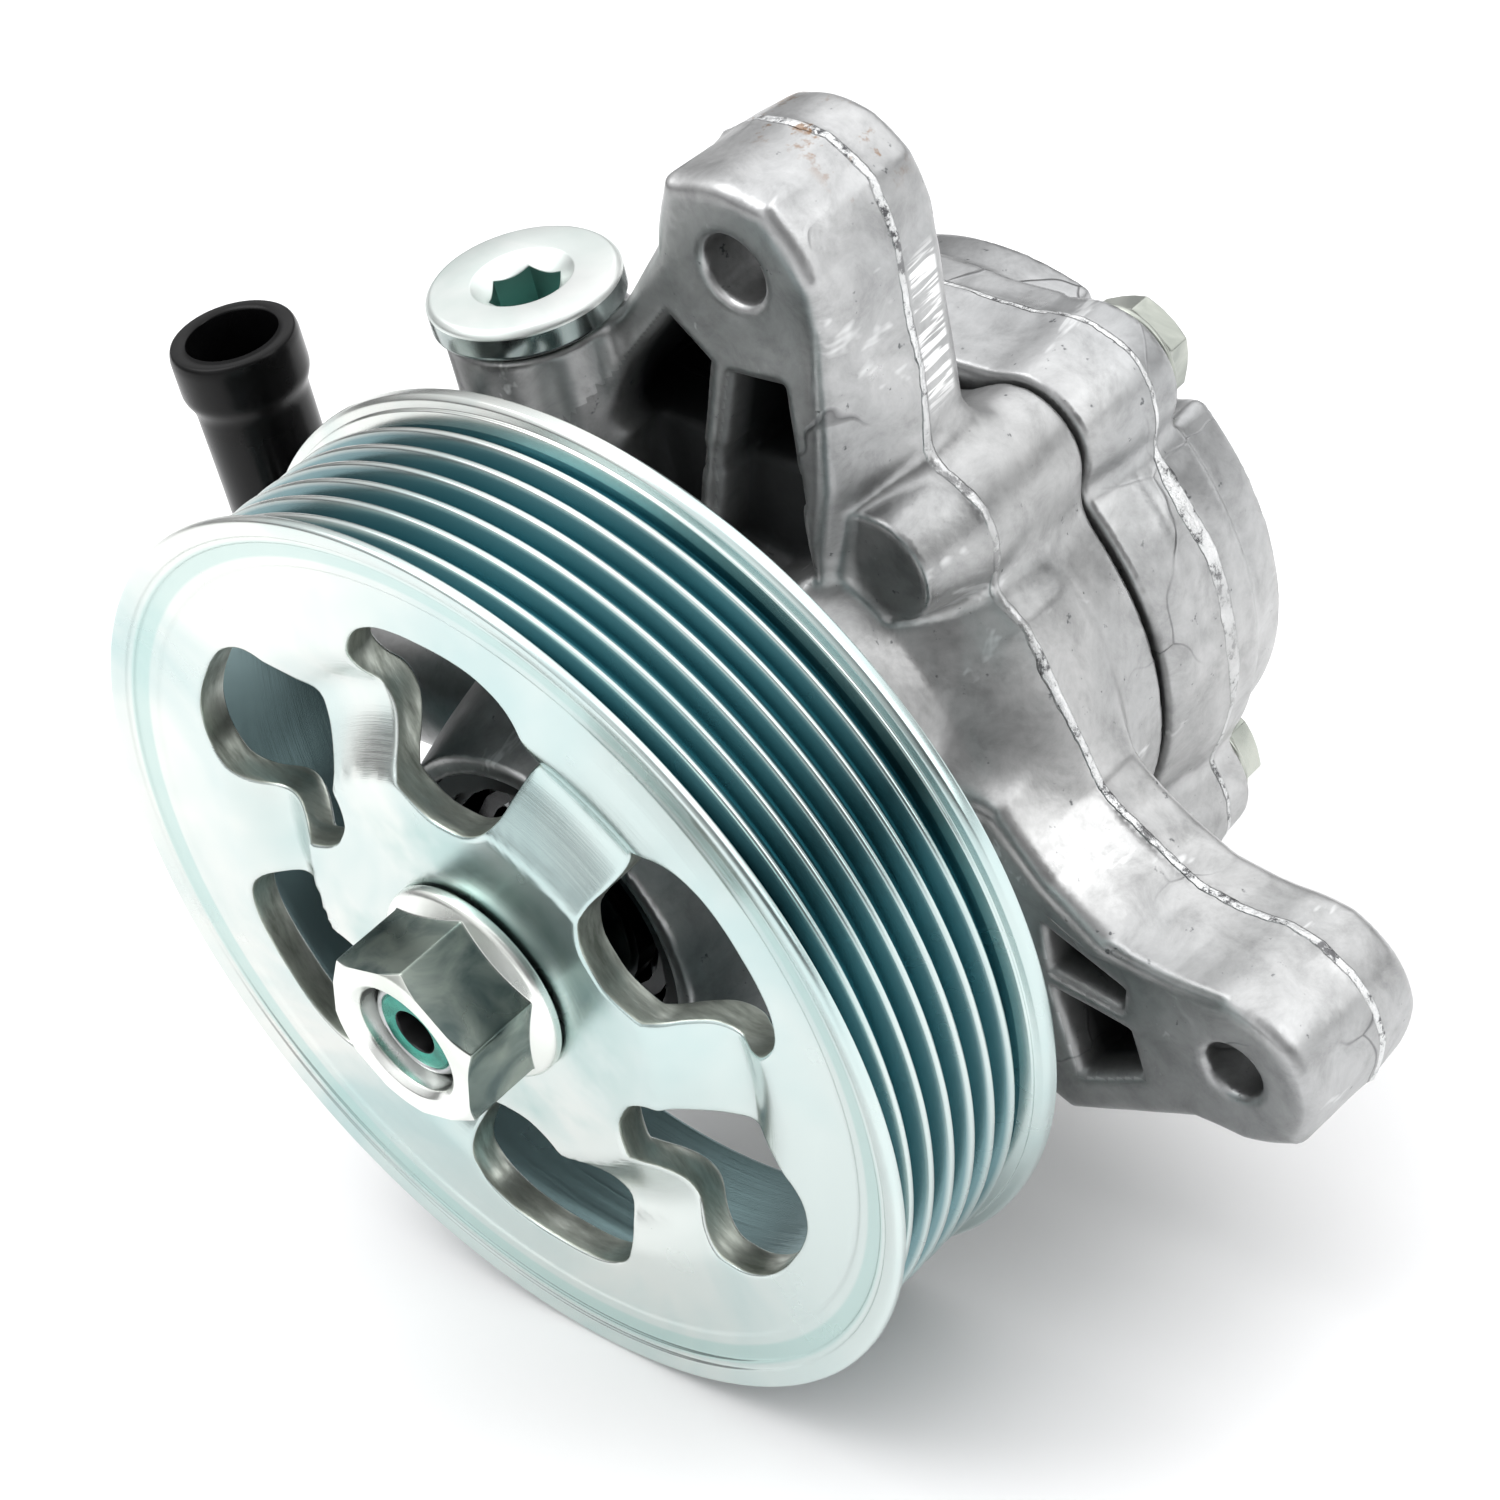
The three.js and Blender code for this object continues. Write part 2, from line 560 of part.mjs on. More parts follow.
const socket = new THREE.Shape();
for (let i = 0; i < 6; i += 1) {
  const [x, y] = polar(4.6, 60 * i + 8);
  if (i === 0) socket.moveTo(x, y);
  else socket.lineTo(x, y);
}
socket.closePath();
const socketCut = plate(socket, PLUG_TOP_Z - 7, PLUG_TOP_Z + 1).rotate([90, 0, 0]);
const plug = turned([
  [0, 49], [6.4, 49], [7.2, 49.8], [7.2, VALVE_TOP_Z + GAP], [PLUG_R - 0.8, VALVE_TOP_Z + GAP],
  [PLUG_R, VALVE_TOP_Z + 1], [PLUG_R, PLUG_TOP_Z - 1], [PLUG_R - 1, PLUG_TOP_Z],
  [6, PLUG_TOP_Z], [4.9, PLUG_TOP_Z - 1.1], [0, PLUG_TOP_Z - 1.1],
], 24).rotate([90, 0, 0]).subtract(socketCut);
piece('valve_plug', plug.translate([VALVE_X, VALVE_Y, 0]), 'zinc');
piece('plug_o_ring', oRing(8.5, 0.9, 55.85, 20).rotate([90, 0, 0])
  .translate([VALVE_X, VALVE_Y, 0]), 'rubber');

piece('valve_spool', upright(VALVE_X, VALVE_Y, [
  [0, 16.3], [6, 16.3], [7.2, 17.3], [7.2, 22], [5.6, 22.6], [5.6, 26.4], [7.2, 27], [7.2, 35], [0, 35],
], 20), 'steel');
piece('valve_spring', coil(4.4, 0.7, 4, 35.3, 48.7).rotate([90, 0, 0])
  .translate([VALVE_X, VALVE_Y, 0]), 'steel');

// ---- suction pipe ------------------------------------------------------------------------------

// The pipe drops from its mouth and bends through a right angle into the housing's side.
const bendZ = INLET_Z + PIPE_BEND_R;
const quarter = 0.5523 * PIPE_BEND_R;
const route = (reach) => {
  const path = new THREE.CurvePath();
  const at = (x, z) => new THREE.Vector3(x, PIPE_Y, z);
  path.add(new THREE.LineCurve3(at(PIPE_X, PIPE_TOP_Z + reach), at(PIPE_X, bendZ)));
  path.add(new THREE.CubicBezierCurve3(
    at(PIPE_X, bendZ),
    at(PIPE_X, bendZ - quarter),
    at(PIPE_X + PIPE_BEND_R - quarter, INLET_Z),
    at(PIPE_X + PIPE_BEND_R, INLET_Z),
  ));
  path.add(new THREE.LineCurve3(at(PIPE_X + PIPE_BEND_R, INLET_Z), at(-49 + reach, INLET_Z)));
  return path;
};
const bead = upright(PIPE_X, PIPE_Y, [
  [6, 31], [PIPE_R, 31], [8.6, 33], [8.6, PIPE_TOP_Z - 1], [8.2, PIPE_TOP_Z], [6, PIPE_TOP_Z],
], 18);
const collar = disc(10.6, INLET_END_X - 3.4, INLET_END_X - GAP, 18, 5)
  .rotate([0, 0, -90]).translate([0, PIPE_Y, INLET_Z]);
const pipe = join(tube(route(0), PIPE_R, 16, 12), bead, collar)
  .subtract(tube(route(2), 6, 16, 10));
piece('suction_pipe', pipe, 'blackPlastic');
piece('pipe_o_ring', oRing(8.5, 0.7, INLET_END_X + 1, 20).rotate([0, 0, -90])
  .translate([0, PIPE_Y, INLET_Z]), 'rubber');

export default pump;
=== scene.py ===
"""Looks of the belt-driven vane pump: fine meshes and procedural materials on its frame."""

import json
import math

import bmesh
import bpy
import numpy as np
from mathutils import Matrix, Vector


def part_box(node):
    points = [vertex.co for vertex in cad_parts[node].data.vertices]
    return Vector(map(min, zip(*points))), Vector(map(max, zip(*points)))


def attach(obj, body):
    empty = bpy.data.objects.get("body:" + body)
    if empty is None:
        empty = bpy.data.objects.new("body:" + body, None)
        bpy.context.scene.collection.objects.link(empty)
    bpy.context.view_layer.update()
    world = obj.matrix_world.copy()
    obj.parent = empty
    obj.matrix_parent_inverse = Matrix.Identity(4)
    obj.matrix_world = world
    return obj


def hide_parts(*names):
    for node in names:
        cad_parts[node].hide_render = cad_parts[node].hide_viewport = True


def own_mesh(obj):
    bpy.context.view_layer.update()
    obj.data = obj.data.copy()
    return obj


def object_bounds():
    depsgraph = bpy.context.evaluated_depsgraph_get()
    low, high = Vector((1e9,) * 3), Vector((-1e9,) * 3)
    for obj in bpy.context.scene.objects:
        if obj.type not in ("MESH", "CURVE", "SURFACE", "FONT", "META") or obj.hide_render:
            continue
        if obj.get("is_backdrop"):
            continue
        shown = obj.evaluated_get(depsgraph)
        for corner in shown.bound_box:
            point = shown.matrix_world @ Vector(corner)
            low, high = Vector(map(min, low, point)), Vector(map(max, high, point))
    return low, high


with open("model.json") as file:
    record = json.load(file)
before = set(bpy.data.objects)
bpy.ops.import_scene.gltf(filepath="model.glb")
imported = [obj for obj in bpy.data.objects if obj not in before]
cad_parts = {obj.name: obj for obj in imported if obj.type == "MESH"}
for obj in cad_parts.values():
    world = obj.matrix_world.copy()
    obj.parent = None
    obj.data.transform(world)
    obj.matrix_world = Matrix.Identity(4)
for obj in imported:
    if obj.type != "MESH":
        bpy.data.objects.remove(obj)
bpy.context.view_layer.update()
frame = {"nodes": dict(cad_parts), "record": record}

# Shapes are drawn in millimetres with y = 0 on the pulley's front rim plane and the shaft along +y;
# the row frame's origin lies FACE_Y behind that plane.
FACE_Y = 47.5
MM = 0.001

GROOVES, GROOVE_PITCH, FIRST_GROOVE_Y = 7, 3.56, 3.31
WINDOW_ANGLE = math.radians(23.43)

PARTING_Y, ARM_REAR_Y, SEAM_Y = 61.0, 69.0, 79.2
COVER_FRONT_Y, COVER_PARTING_Y, COVER_SEAT_Y = 79.5, 91.0, 96.5
BOLT_X, BOLT_Z = 24.6, 30.4
BOLTS = [(BOLT_X, BOLT_Z), (BOLT_X, -BOLT_Z), (-BOLT_X, -BOLT_Z), (-BOLT_X, BOLT_Z)]
UPPER_BOSS, LOWER_BOSS = (16.9, 70.5), (67.3, -25.0)
VALVE_X, VALVE_Y = -18.0, 47.0
PIPE_X, PIPE_Y, PIPE_TOP = -76.0, 45.0, 40.0
INLET_Z, INLET_END = -3.0, -60.0


# ---- meshes --------------------------------------------------------------------------------------


def add_mesh(name, verts, faces, materials, body, replaces=(), index=None, weld=False):
    """A smooth-shaded piece from millimetre vertices, riding on a body."""
    points = np.asarray(verts, float).copy()
    points[:, 1] -= FACE_Y
    mesh = bpy.data.meshes.new(name)
    mesh.from_pydata((points * MM).tolist(), [], [list(map(int, f)) for f in faces])
    for material in materials:
        mesh.materials.append(material)
    if index is not None:
        mesh.polygons.foreach_set("material_index", np.asarray(index, np.int32))
    mesh.update()
    work = bmesh.new()
    work.from_mesh(mesh)
    if weld:
        bmesh.ops.remove_doubles(work, verts=work.verts, dist=0.005 * MM)
    bmesh.ops.recalc_face_normals(work, faces=work.faces)
    work.to_mesh(mesh)
    work.free()
    mesh.shade_smooth()
    piece = bpy.data.objects.new(name, mesh)
    bpy.context.scene.collection.objects.link(piece)
    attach(piece, body)
    if replaces:
        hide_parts(*replaces)
    return piece


def rounded(profile, closed=False, steps=3):
    """Rounds the corners of a list of (u, v, radius) points."""
    points = [np.array(p[:2], float) for p in profile]
    radii = [p[2] if len(p) > 2 else 0.0 for p in profile]
    out = []
    count = len(points)
    for i, (here, radius) in enumerate(zip(points, radii)):
        if radius == 0 or (not closed and i in (0, count - 1)):
            out.append(here)
            continue
        to_last = points[i - 1] - here
        to_next = points[(i + 1) % count] - here
        last_len, next_len = np.linalg.norm(to_last), np.linalg.norm(to_next)
        reach = min(radius, 0.48 * last_len, 0.48 * next_len)
        start, end = here + to_last / last_len * reach, here + to_next / next_len * reach
        for k in range(steps + 1):
            t = k / steps
            out.append((1 - t) ** 2 * start + 2 * t * (1 - t) * here + t * t * end)
    return np.array(out)


def spin(profile, angles, closed=False):
    """Vertices and quads of (radius, y) points turned through a full circle of angles."""
    profile = np.asarray(profile, float)
    n, m = len(profile), len(angles)
    c, s = np.cos(angles)[None], np.sin(angles)[None]
    verts = np.stack(
        [profile[:, :1] * c, np.repeat(profile[:, 1:], m, 1), profile[:, :1] * s], -1
    ).reshape(-1, 3)
    faces = []
    for i in range(n if closed else n - 1):
        a, b = i * m, ((i + 1) % n) * m
        for j in range(m):
            k = (j + 1) % m
            faces.append((a + j, a + k, b + k, b + j))
    return verts, faces


def circle(count, start=0.0):
    return start + np.arange(count) * 2 * math.pi / count


def capped(verts, faces, loop_size, first=True, last=True):
    """Closes the ends of a spun shape with fans of one vertex."""
    verts, faces = [tuple(v) for v in verts], list(faces)
    total = len(verts)
    for start, wanted in ((0, first), (total - loop_size, last)):
        if not wanted:
            continue
        loop = range(start, start + loop_size)
        centre = len(verts)
        verts.append(tuple(np.mean([verts[i] for i in loop], 0)))
        faces += [(start + j, start + (j + 1) % loop_size, centre) for j in range(loop_size)]
    return verts, faces


# ---- signed distances, in millimetres ------------------------------------------------------------


def smin(a, b, k):
    """Union of two distances with a fillet of about k."""
    h = np.maximum(k - np.abs(a - b), 0) / k
    return np.minimum(a, b) - h * h * k / 4


def smax(a, b, k):
    """Intersection of two distances with an edge rounded by about k."""
    return -smin(-a, -b, k)


def polygon(u, v, points):
    """Exact signed distance from (u, v) to a closed outline."""
    points = np.asarray(points, np.float32)
    best = np.full(u.shape, 1e9, np.float32)
    inside = np.zeros(u.shape, bool)
    for a, b in zip(points, np.roll(points, -1, 0)):
        e, wu, wv = b - a, u - a[0], v - a[1]
        t = np.clip((wu * e[0] + wv * e[1]) / max(float(e @ e), 1e-9), 0, 1)
        best = np.minimum(best, (wu - t * e[0]) ** 2 + (wv - t * e[1]) ** 2)
        if a[1] != b[1]:
            crosses = (a[1] > v) != (b[1] > v)
            inside ^= crosses & (wu < (v - a[1]) * e[0] / e[1])
    return np.where(inside, -1, 1) * np.sqrt(best)


def slab(t, low, high):
    return np.maximum(low - t, t - high)


def rod(u, v, centre, r):
    return np.hypot(u - centre[0], v - centre[1]) - r


def lump(x, y, z, scale, seed):
    """Smooth seeded noise from a few sine waves, between about -1 and 1."""
    rng = np.random.default_rng(seed)
    total = 0
    for _ in range(6):
        d = rng.normal(size=3)
        d *= 2 * math.pi / scale / np.linalg.norm(d) * rng.uniform(0.6, 1.5)
        total = total + np.sin(x * d[0] + y * d[1] + z * d[2] + rng.uniform(0, 6.28))
    return total / 3


def nets(sdf, low, high, step, block=6):
    """Quads over sdf = 0 by surface nets, sampled only in the blocks near the surface."""
    low, high = np.array(low, float), np.array(high, float)
    blocks = np.ceil((high - low) / (step * block)).astype(int)
    size = step * block
    grid = np.stack(np.meshgrid(*[np.arange(n) for n in blocks], indexing="ij"), -1)
    centre = (low + (grid.reshape(-1, 3) + 0.5) * size).astype(np.float32)
    rough = sdf(*centre.T)
    near = np.abs(rough) < size * 1.15
    field = np.where(rough < 0, -9, 9).astype(np.float32).reshape(*blocks)
    for axis in range(3):
        field = np.repeat(field, block, axis)
    inner = np.stack(np.meshgrid(*[np.arange(block)] * 3, indexing="ij"), -1).reshape(-1, 3)
    picked = grid.reshape(-1, 3)[near] * block
    for part in np.array_split(picked, max(1, len(picked) // 1500)):
        at = (part[:, None] + inner[None]).reshape(-1, 3)
        points = (low + at * step).astype(np.float32)
        field[tuple(at.T)] = sdf(*points.T)

    solid = field < 0
    corners = [(i, j, k) for i in (0, 1) for j in (0, 1) for k in (0, 1)]
    n = np.array(field.shape) - 1
    count = sum(solid[i : i + n[0], j : j + n[1], k : k + n[2]].astype(np.int8) for i, j,
                k in corners)
    mixed = (count > 0) & (count < 8)
    ids = np.full(mixed.shape, -1, np.int32)
    ids[mixed] = np.arange(mixed.sum())
    cells = np.argwhere(mixed)
    total, hits = np.zeros((len(cells), 3)), np.zeros(len(cells))
    for a in corners:
        for b in corners:
            if a < b and sum(abs(p - q) for p, q in zip(a, b)) == 1:
                fa, fb = field[tuple((cells + a).T)], field[tuple((cells + b).T)]
                cross = (fa < 0) != (fb < 0)
                t = np.where(cross, fa / np.where(cross, fa - fb, 1), 0)
                total += cross[:, None] * (np.array(a) + t[:, None] * (np.array(b) - np.array(a)))
                hits += cross
    verts = low + (cells + total / hits[:, None]) * step

    quads = []
    for axis in range(3):
        one, two = [i for i in range(3) if i != axis]
        ends = [slice(None)] * 3, [slice(None)] * 3
        ends[0][axis], ends[1][axis] = slice(0, -1), slice(1, None)
        cross = solid[tuple(ends[0])] != solid[tuple(ends[1])]
        edges = np.argwhere(cross)
        edges = edges[(edges[:, one] > 0) & (edges[:, two] > 0)]
        around = []
        for du, dv in ((0, 0), (1, 0), (1, 1), (0, 1)):
            cell = edges.copy()
            cell[:, one] -= du
            cell[:, two] -= dv
            around.append(ids[tuple(cell.T)])
        quads.append(np.stack(around, 1))
    quads = np.concatenate(quads)
    return project(sdf, verts, 2), quads[(quads >= 0).all(1)]


def gradient(sdf, points, reach=0.05):
    out = np.zeros((len(points), 3))
    for axis in range(3):
        step = np.zeros(3)
        step[axis] = reach
        ahead, behind = (points + step).T, (points - step).T
        out[:, axis] = (sdf(*ahead) - sdf(*behind)) / (2 * reach)
    return out


def project(sdf, points, rounds):
    """Moves points onto sdf = 0 along its slope."""
    for _ in range(rounds):
        slope = gradient(sdf, points)
        length = np.maximum((slope**2).sum(1), 0.25)
        move = sdf(*points.T) / length
        points = points - np.clip(move, -0.4, 0.4)[:, None] * slope
    return points


# ---- materials -----------------------------------------------------------------------------------


class Nodes:
    """A short way to write a procedural material."""

    def __init__(self, name):
        self.material = bpy.data.materials.new(name)
        self.material.use_nodes = True
        self.tree = self.material.node_tree
        self.shader = self.tree.nodes["Principled BSDF"]
        self.coords = self.add("ShaderNodeTexCoord").outputs["Object"]

    def add(self, kind, **settings):
        node = self.tree.nodes.new(kind)
        for key, value in settings.items():
            setattr(node, key, value)
        return node

    def link(self, source, target):
        self.tree.links.new(source, target)

    def feed(self, socket, value):
        if isinstance(value, (int, float, tuple)):
            socket.default_value = value
        else:
            self.link(value, socket)

    def maths(self, operation, *values, clamp=False):
        node = self.add("ShaderNodeMath", operation=operation, use_clamp=clamp)
        for socket, value in zip(node.inputs, values):
            self.feed(socket, value)
        return node.outputs[0]

    def noise(self, scale, detail=4.0, rough=0.55, stretch=None, kind="ShaderNodeTexNoise",
              distort=0.0):
        coords = self.coords
        if stretch:
            mapping = self.add("ShaderNodeMapping")
            mapping.inputs["Scale"].default_value = stretch
            self.link(coords, mapping.inputs[0])
            coords = mapping.outputs[0]
        node = self.add(kind)
        self.link(coords, node.inputs["Vector"])
        node.inputs["Scale"].default_value = scale
        node.inputs["Detail"].default_value = detail
        node.inputs["Roughness"].default_value = rough
        node.inputs["Distortion"].default_value = distort
        return node.outputs["Fac"]

    def ramp(self, value, *stops):
        """Maps a value through (position, grey or colour) stops."""
        node = self.add("ShaderNodeValToRGB")
        elements = node.color_ramp.elements
        while len(elements) < len(stops):
            elements.new(0.5)
        for element, (position, colour) in zip(elements, stops):
            grey = isinstance(colour, (int, float))
            element.position = position
            element.color = (colour, colour, colour, 1) if grey else (*colour, 1)
        self.link(value, node.inputs[0])
        return node.outputs[0]

    def mix(self, factor, a, b, blend="MIX"):
        node = self.add("ShaderNodeMix", data_type="RGBA", blend_type=blend)
        self.feed(node.inputs[0], factor)
        self.feed(node.inputs[6], a)
        self.feed(node.inputs[7], b)
        return node.outputs[2]

    def bump(self, height, distance, strength=1.0, under=None):
        node = self.add("ShaderNodeBump")
        node.inputs["Distance"].default_value = distance
        node.inputs["Strength"].default_value = strength
        self.link(height, node.inputs["Height"])
        if under is not None:
            self.link(under, node.inputs["Normal"])
        return node.outputs[0]

    def radius(self):
        """Distance from the shaft axis, in millimetres."""
        split = self.add("ShaderNodeSeparateXYZ")
        self.link(self.coords, split.inputs[0])
        x, z = split.outputs[0], split.outputs[2]
        square = self.maths("ADD", self.maths("MULTIPLY", x, x), self.maths("MULTIPLY", z, z))
        return self.maths("MULTIPLY", self.maths("SQRT", square), 1000.0)

    def axial(self):
        """Distance behind the pulley's front rim, in millimetres."""
        split = self.add("ShaderNodeSeparateXYZ")
        self.link(self.coords, split.inputs[0])
        return self.maths("ADD", self.maths("MULTIPLY", split.outputs[1], 1000.0), FACE_Y)

    def finish(self, colour, metallic, roughness, normal=None, **sockets):
        self.feed(self.shader.inputs["Base Color"], colour)
        self.feed(self.shader.inputs["Metallic"], metallic)
        self.feed(self.shader.inputs["Roughness"], roughness)
        if normal is not None:
            self.link(normal, self.shader.inputs["Normal"])
        for key, value in sockets.items():
            self.shader.inputs[key.replace("_", " ")].default_value = value
        return self.material


def band(m, value, middle, half, soft):
    """1 within half of the middle, falling to 0 over soft."""
    away = m.maths("ABSOLUTE", m.maths("SUBTRACT", value, middle))
    return m.maths("DIVIDE", m.maths("SUBTRACT", half + soft, away), soft, clamp=True)


def cast_aluminium(name, shaded_pockets=False):
    """Die casting: grey satin metal with blotches, pits, cracks, scuffs, torn flash lines and
    painted shade.
    """
    m = Nodes(name)
    split = m.add("ShaderNodeSeparateXYZ")
    m.link(m.coords, split.inputs[0])
    x, z = split.outputs[0], split.outputs[2]
    axial = m.axial()
    blotch = m.noise(38, 5, 0.62, distort=0.6)
    cloud = m.noise(14, 3, 0.5)
    grain = m.noise(900, 2, 0.5)
    pits = m.noise(420, 3, 0.7)
    scuff = m.noise(150, 4, 0.7, stretch=(1.0, 0.25, 0.6))
    colour = m.ramp(blotch, (0.30, (0.33, 0.335, 0.335)), (0.52, (0.45, 0.452, 0.45)),
                    (0.75, (0.57, 0.572, 0.57)))
    colour = m.mix(m.ramp(cloud, (0.42, 0.0), (0.62, 0.55)), colour, (0.37, 0.378, 0.385, 1))
    mottle = m.ramp(m.noise(170, 6, 0.72, distort=0.4), (0.30, 0.74), (0.5, 1.0), (0.7, 1.18))
    colour = m.mix(1.0, colour, mottle, "MULTIPLY")
    # Painted shade: faces turned to the front (-y) are darkened to 0.8.
    facing = m.add("ShaderNodeSeparateXYZ")
    m.link(m.add("ShaderNodeTexCoord").outputs["Normal"], facing.inputs[0])
    front_face_shade = m.ramp(m.maths("MULTIPLY", facing.outputs[1], -1.0), (0.86, 1.0), (0.97, 0.80))
    colour = m.mix(1.0, colour, front_face_shade, "MULTIPLY")
    # Painted shade: the casting darkens towards -x, its left side.
    left_side_shade = m.ramp(m.maths("MULTIPLY", m.maths("ADD", x, 0.03), 20.0, clamp=True), (0.2, 0.55),
                  (0.75, 1.0))
    colour = m.mix(1.0, colour, left_side_shade, "MULTIPLY")
    bright = m.ramp(scuff, (0.64, 0.0), (0.69, 0.7))
    colour = m.mix(bright, colour, (0.74, 0.75, 0.75, 1))
    colour = m.mix(m.ramp(pits, (0.27, 0.85), (0.33, 0.0)), colour, (0.10, 0.105, 0.11, 1))

    crack = m.add("ShaderNodeTexVoronoi", feature="DISTANCE_TO_EDGE")
    bent = m.add("ShaderNodeVectorMath", operation="ADD")
    wander = m.add("ShaderNodeTexNoise")
    wander.inputs["Scale"].default_value = 60.0
    m.link(m.coords, wander.inputs["Vector"])
    shrunk = m.add("ShaderNodeVectorMath", operation="SCALE")
    m.link(wander.outputs["Color"], shrunk.inputs[0])
    shrunk.inputs["Scale"].default_value = 0.018
    m.link(m.coords, bent.inputs[0])
    m.link(shrunk.outputs[0], bent.inputs[1])
    m.link(bent.outputs[0], crack.inputs["Vector"])
    crack.inputs["Scale"].default_value = 38.0
    hair = m.maths("MULTIPLY", m.ramp(crack.outputs["Distance"], (0.0, 1.0), (0.011, 0.0)),
                   m.ramp(m.noise(24, 3, 0.5), (0.53, 0.0), (0.60, 0.7)))
    colour = m.mix(hair, colour, (0.10, 0.10, 0.105, 1))

    torn = m.noise(330, 5, 0.75)
    sway = m.maths("MULTIPLY", m.maths("SUBTRACT", m.noise(90, 4, 0.6), 0.5), 2.2)
    line = None
    wide = m.maths("MULTIPLY", band(m, z, 0.006, 0.014, 0.004), m.maths("GREATER_THAN", x, 0.03))
    for plane, half, extra in ((PARTING_Y, 0.45, 0.0), (COVER_PARTING_Y, 0.24, 0.75)):
        reach = m.maths("ADD", half, m.maths("MULTIPLY", wide, extra))
        away = m.maths("ABSOLUTE", m.maths("SUBTRACT", m.maths("ADD", axial, sway), plane))
        here = m.maths("DIVIDE", m.maths("SUBTRACT", m.maths("ADD", reach, 0.18), away), 0.18,
                       clamp=True)
        line = here if line is None else m.maths("MAXIMUM", line, here)
    line = m.maths("MULTIPLY", line, m.ramp(m.noise(33, 3, 0.6), (0.36, 0.25), (0.50, 1.0)))
    flash = m.ramp(torn, (0.40, (0.10, 0.10, 0.105)), (0.48, (0.70, 0.71, 0.71)),
                   (0.7, (0.86, 0.86, 0.86)))
    colour = m.mix(line, colour, flash)

    filed = m.maths("MULTIPLY", band(m, z, 0.056, 0.008, 0.003), band(m, axial, 64.4, 2.2, 0.5))
    filed = m.maths("MULTIPLY", filed, m.maths("GREATER_THAN", x, 0.02))
    slant = m.add("ShaderNodeMapping")
    slant.inputs["Rotation"].default_value = (0.7, 0.0, 0.0)
    slant.inputs["Scale"].default_value = (1.0, 0.12, 1.6)
    m.link(m.coords, slant.inputs[0])
    marks = m.add("ShaderNodeTexNoise")
    m.link(slant.outputs[0], marks.inputs["Vector"])
    marks.inputs["Scale"].default_value = 900.0
    marks.inputs["Detail"].default_value = 2.0
    cut = m.maths("MULTIPLY", filed, m.ramp(marks.outputs["Fac"], (0.47, 0.0), (0.55, 1.0)))
    colour = m.mix(cut, colour, (0.88, 0.88, 0.88, 1))

    rust = m.maths("MULTIPLY", band(m, z, 0.0805, 0.003, 0.004),
                   m.ramp(m.noise(210, 4, 0.7), (0.55, 0.0), (0.62, 0.8)))
    rust = m.maths("MULTIPLY", rust, band(m, axial, 62, 3.5, 3))
    colour = m.mix(rust, colour, (0.24, 0.13, 0.06, 1))
    rough = m.ramp(m.noise(120, 5, 0.65), (0.3, 0.44), (0.7, 0.27))
    metal = 0.92
    if shaded_pockets:
        # Painted shade: in the cored pockets the colour fades to near black deeper in, with less
        # metal and more roughness.
        deep = m.ramp(m.maths("DIVIDE", m.maths("SUBTRACT", axial, 47.8), 9.0, clamp=True),
                      (0.0, 0.25), (0.5, 0.97), (1.0, 1.0))
        colour = m.mix(deep, colour, (0.012, 0.013, 0.014, 1))
        metal = m.maths("SUBTRACT", 0.92, m.maths("MULTIPLY", deep, 0.6))
        rough = m.maths("ADD", rough, m.maths("MULTIPLY", deep, 0.3))
    normal = m.bump(grain, 0.00004, 0.5)
    normal = m.bump(m.noise(70, 4, 0.6), 0.0004, 0.4, normal)
    normal = m.bump(m.maths("MULTIPLY", line, torn), 0.0006, 0.9, normal)
    normal = m.bump(hair, 0.0002, 0.6, normal)
    return m.finish(colour, metal, rough, normal)


def zinc(name, tint, deep, rough=0.2, scale=30):
    """Zinc plating with a faint iridescent passivation, as a haze between two colours; its darker
    copies carry painted shade.
    """
    m = Nodes(name)
    haze = m.noise(scale, 4, 0.55, distort=0.8)
    colour = m.mix(m.ramp(haze, (0.35, 0.0), (0.7, 1.0)), (*tint, 1), (*deep, 1))
    fine = m.noise(600, 3, 0.6)
    roughness = m.ramp(m.noise(55, 4, 0.6), (0.3, rough * 0.8), (0.7, rough * 1.5))
    return m.finish(colour, 1.0, roughness, m.bump(fine, 0.00002, 0.4))


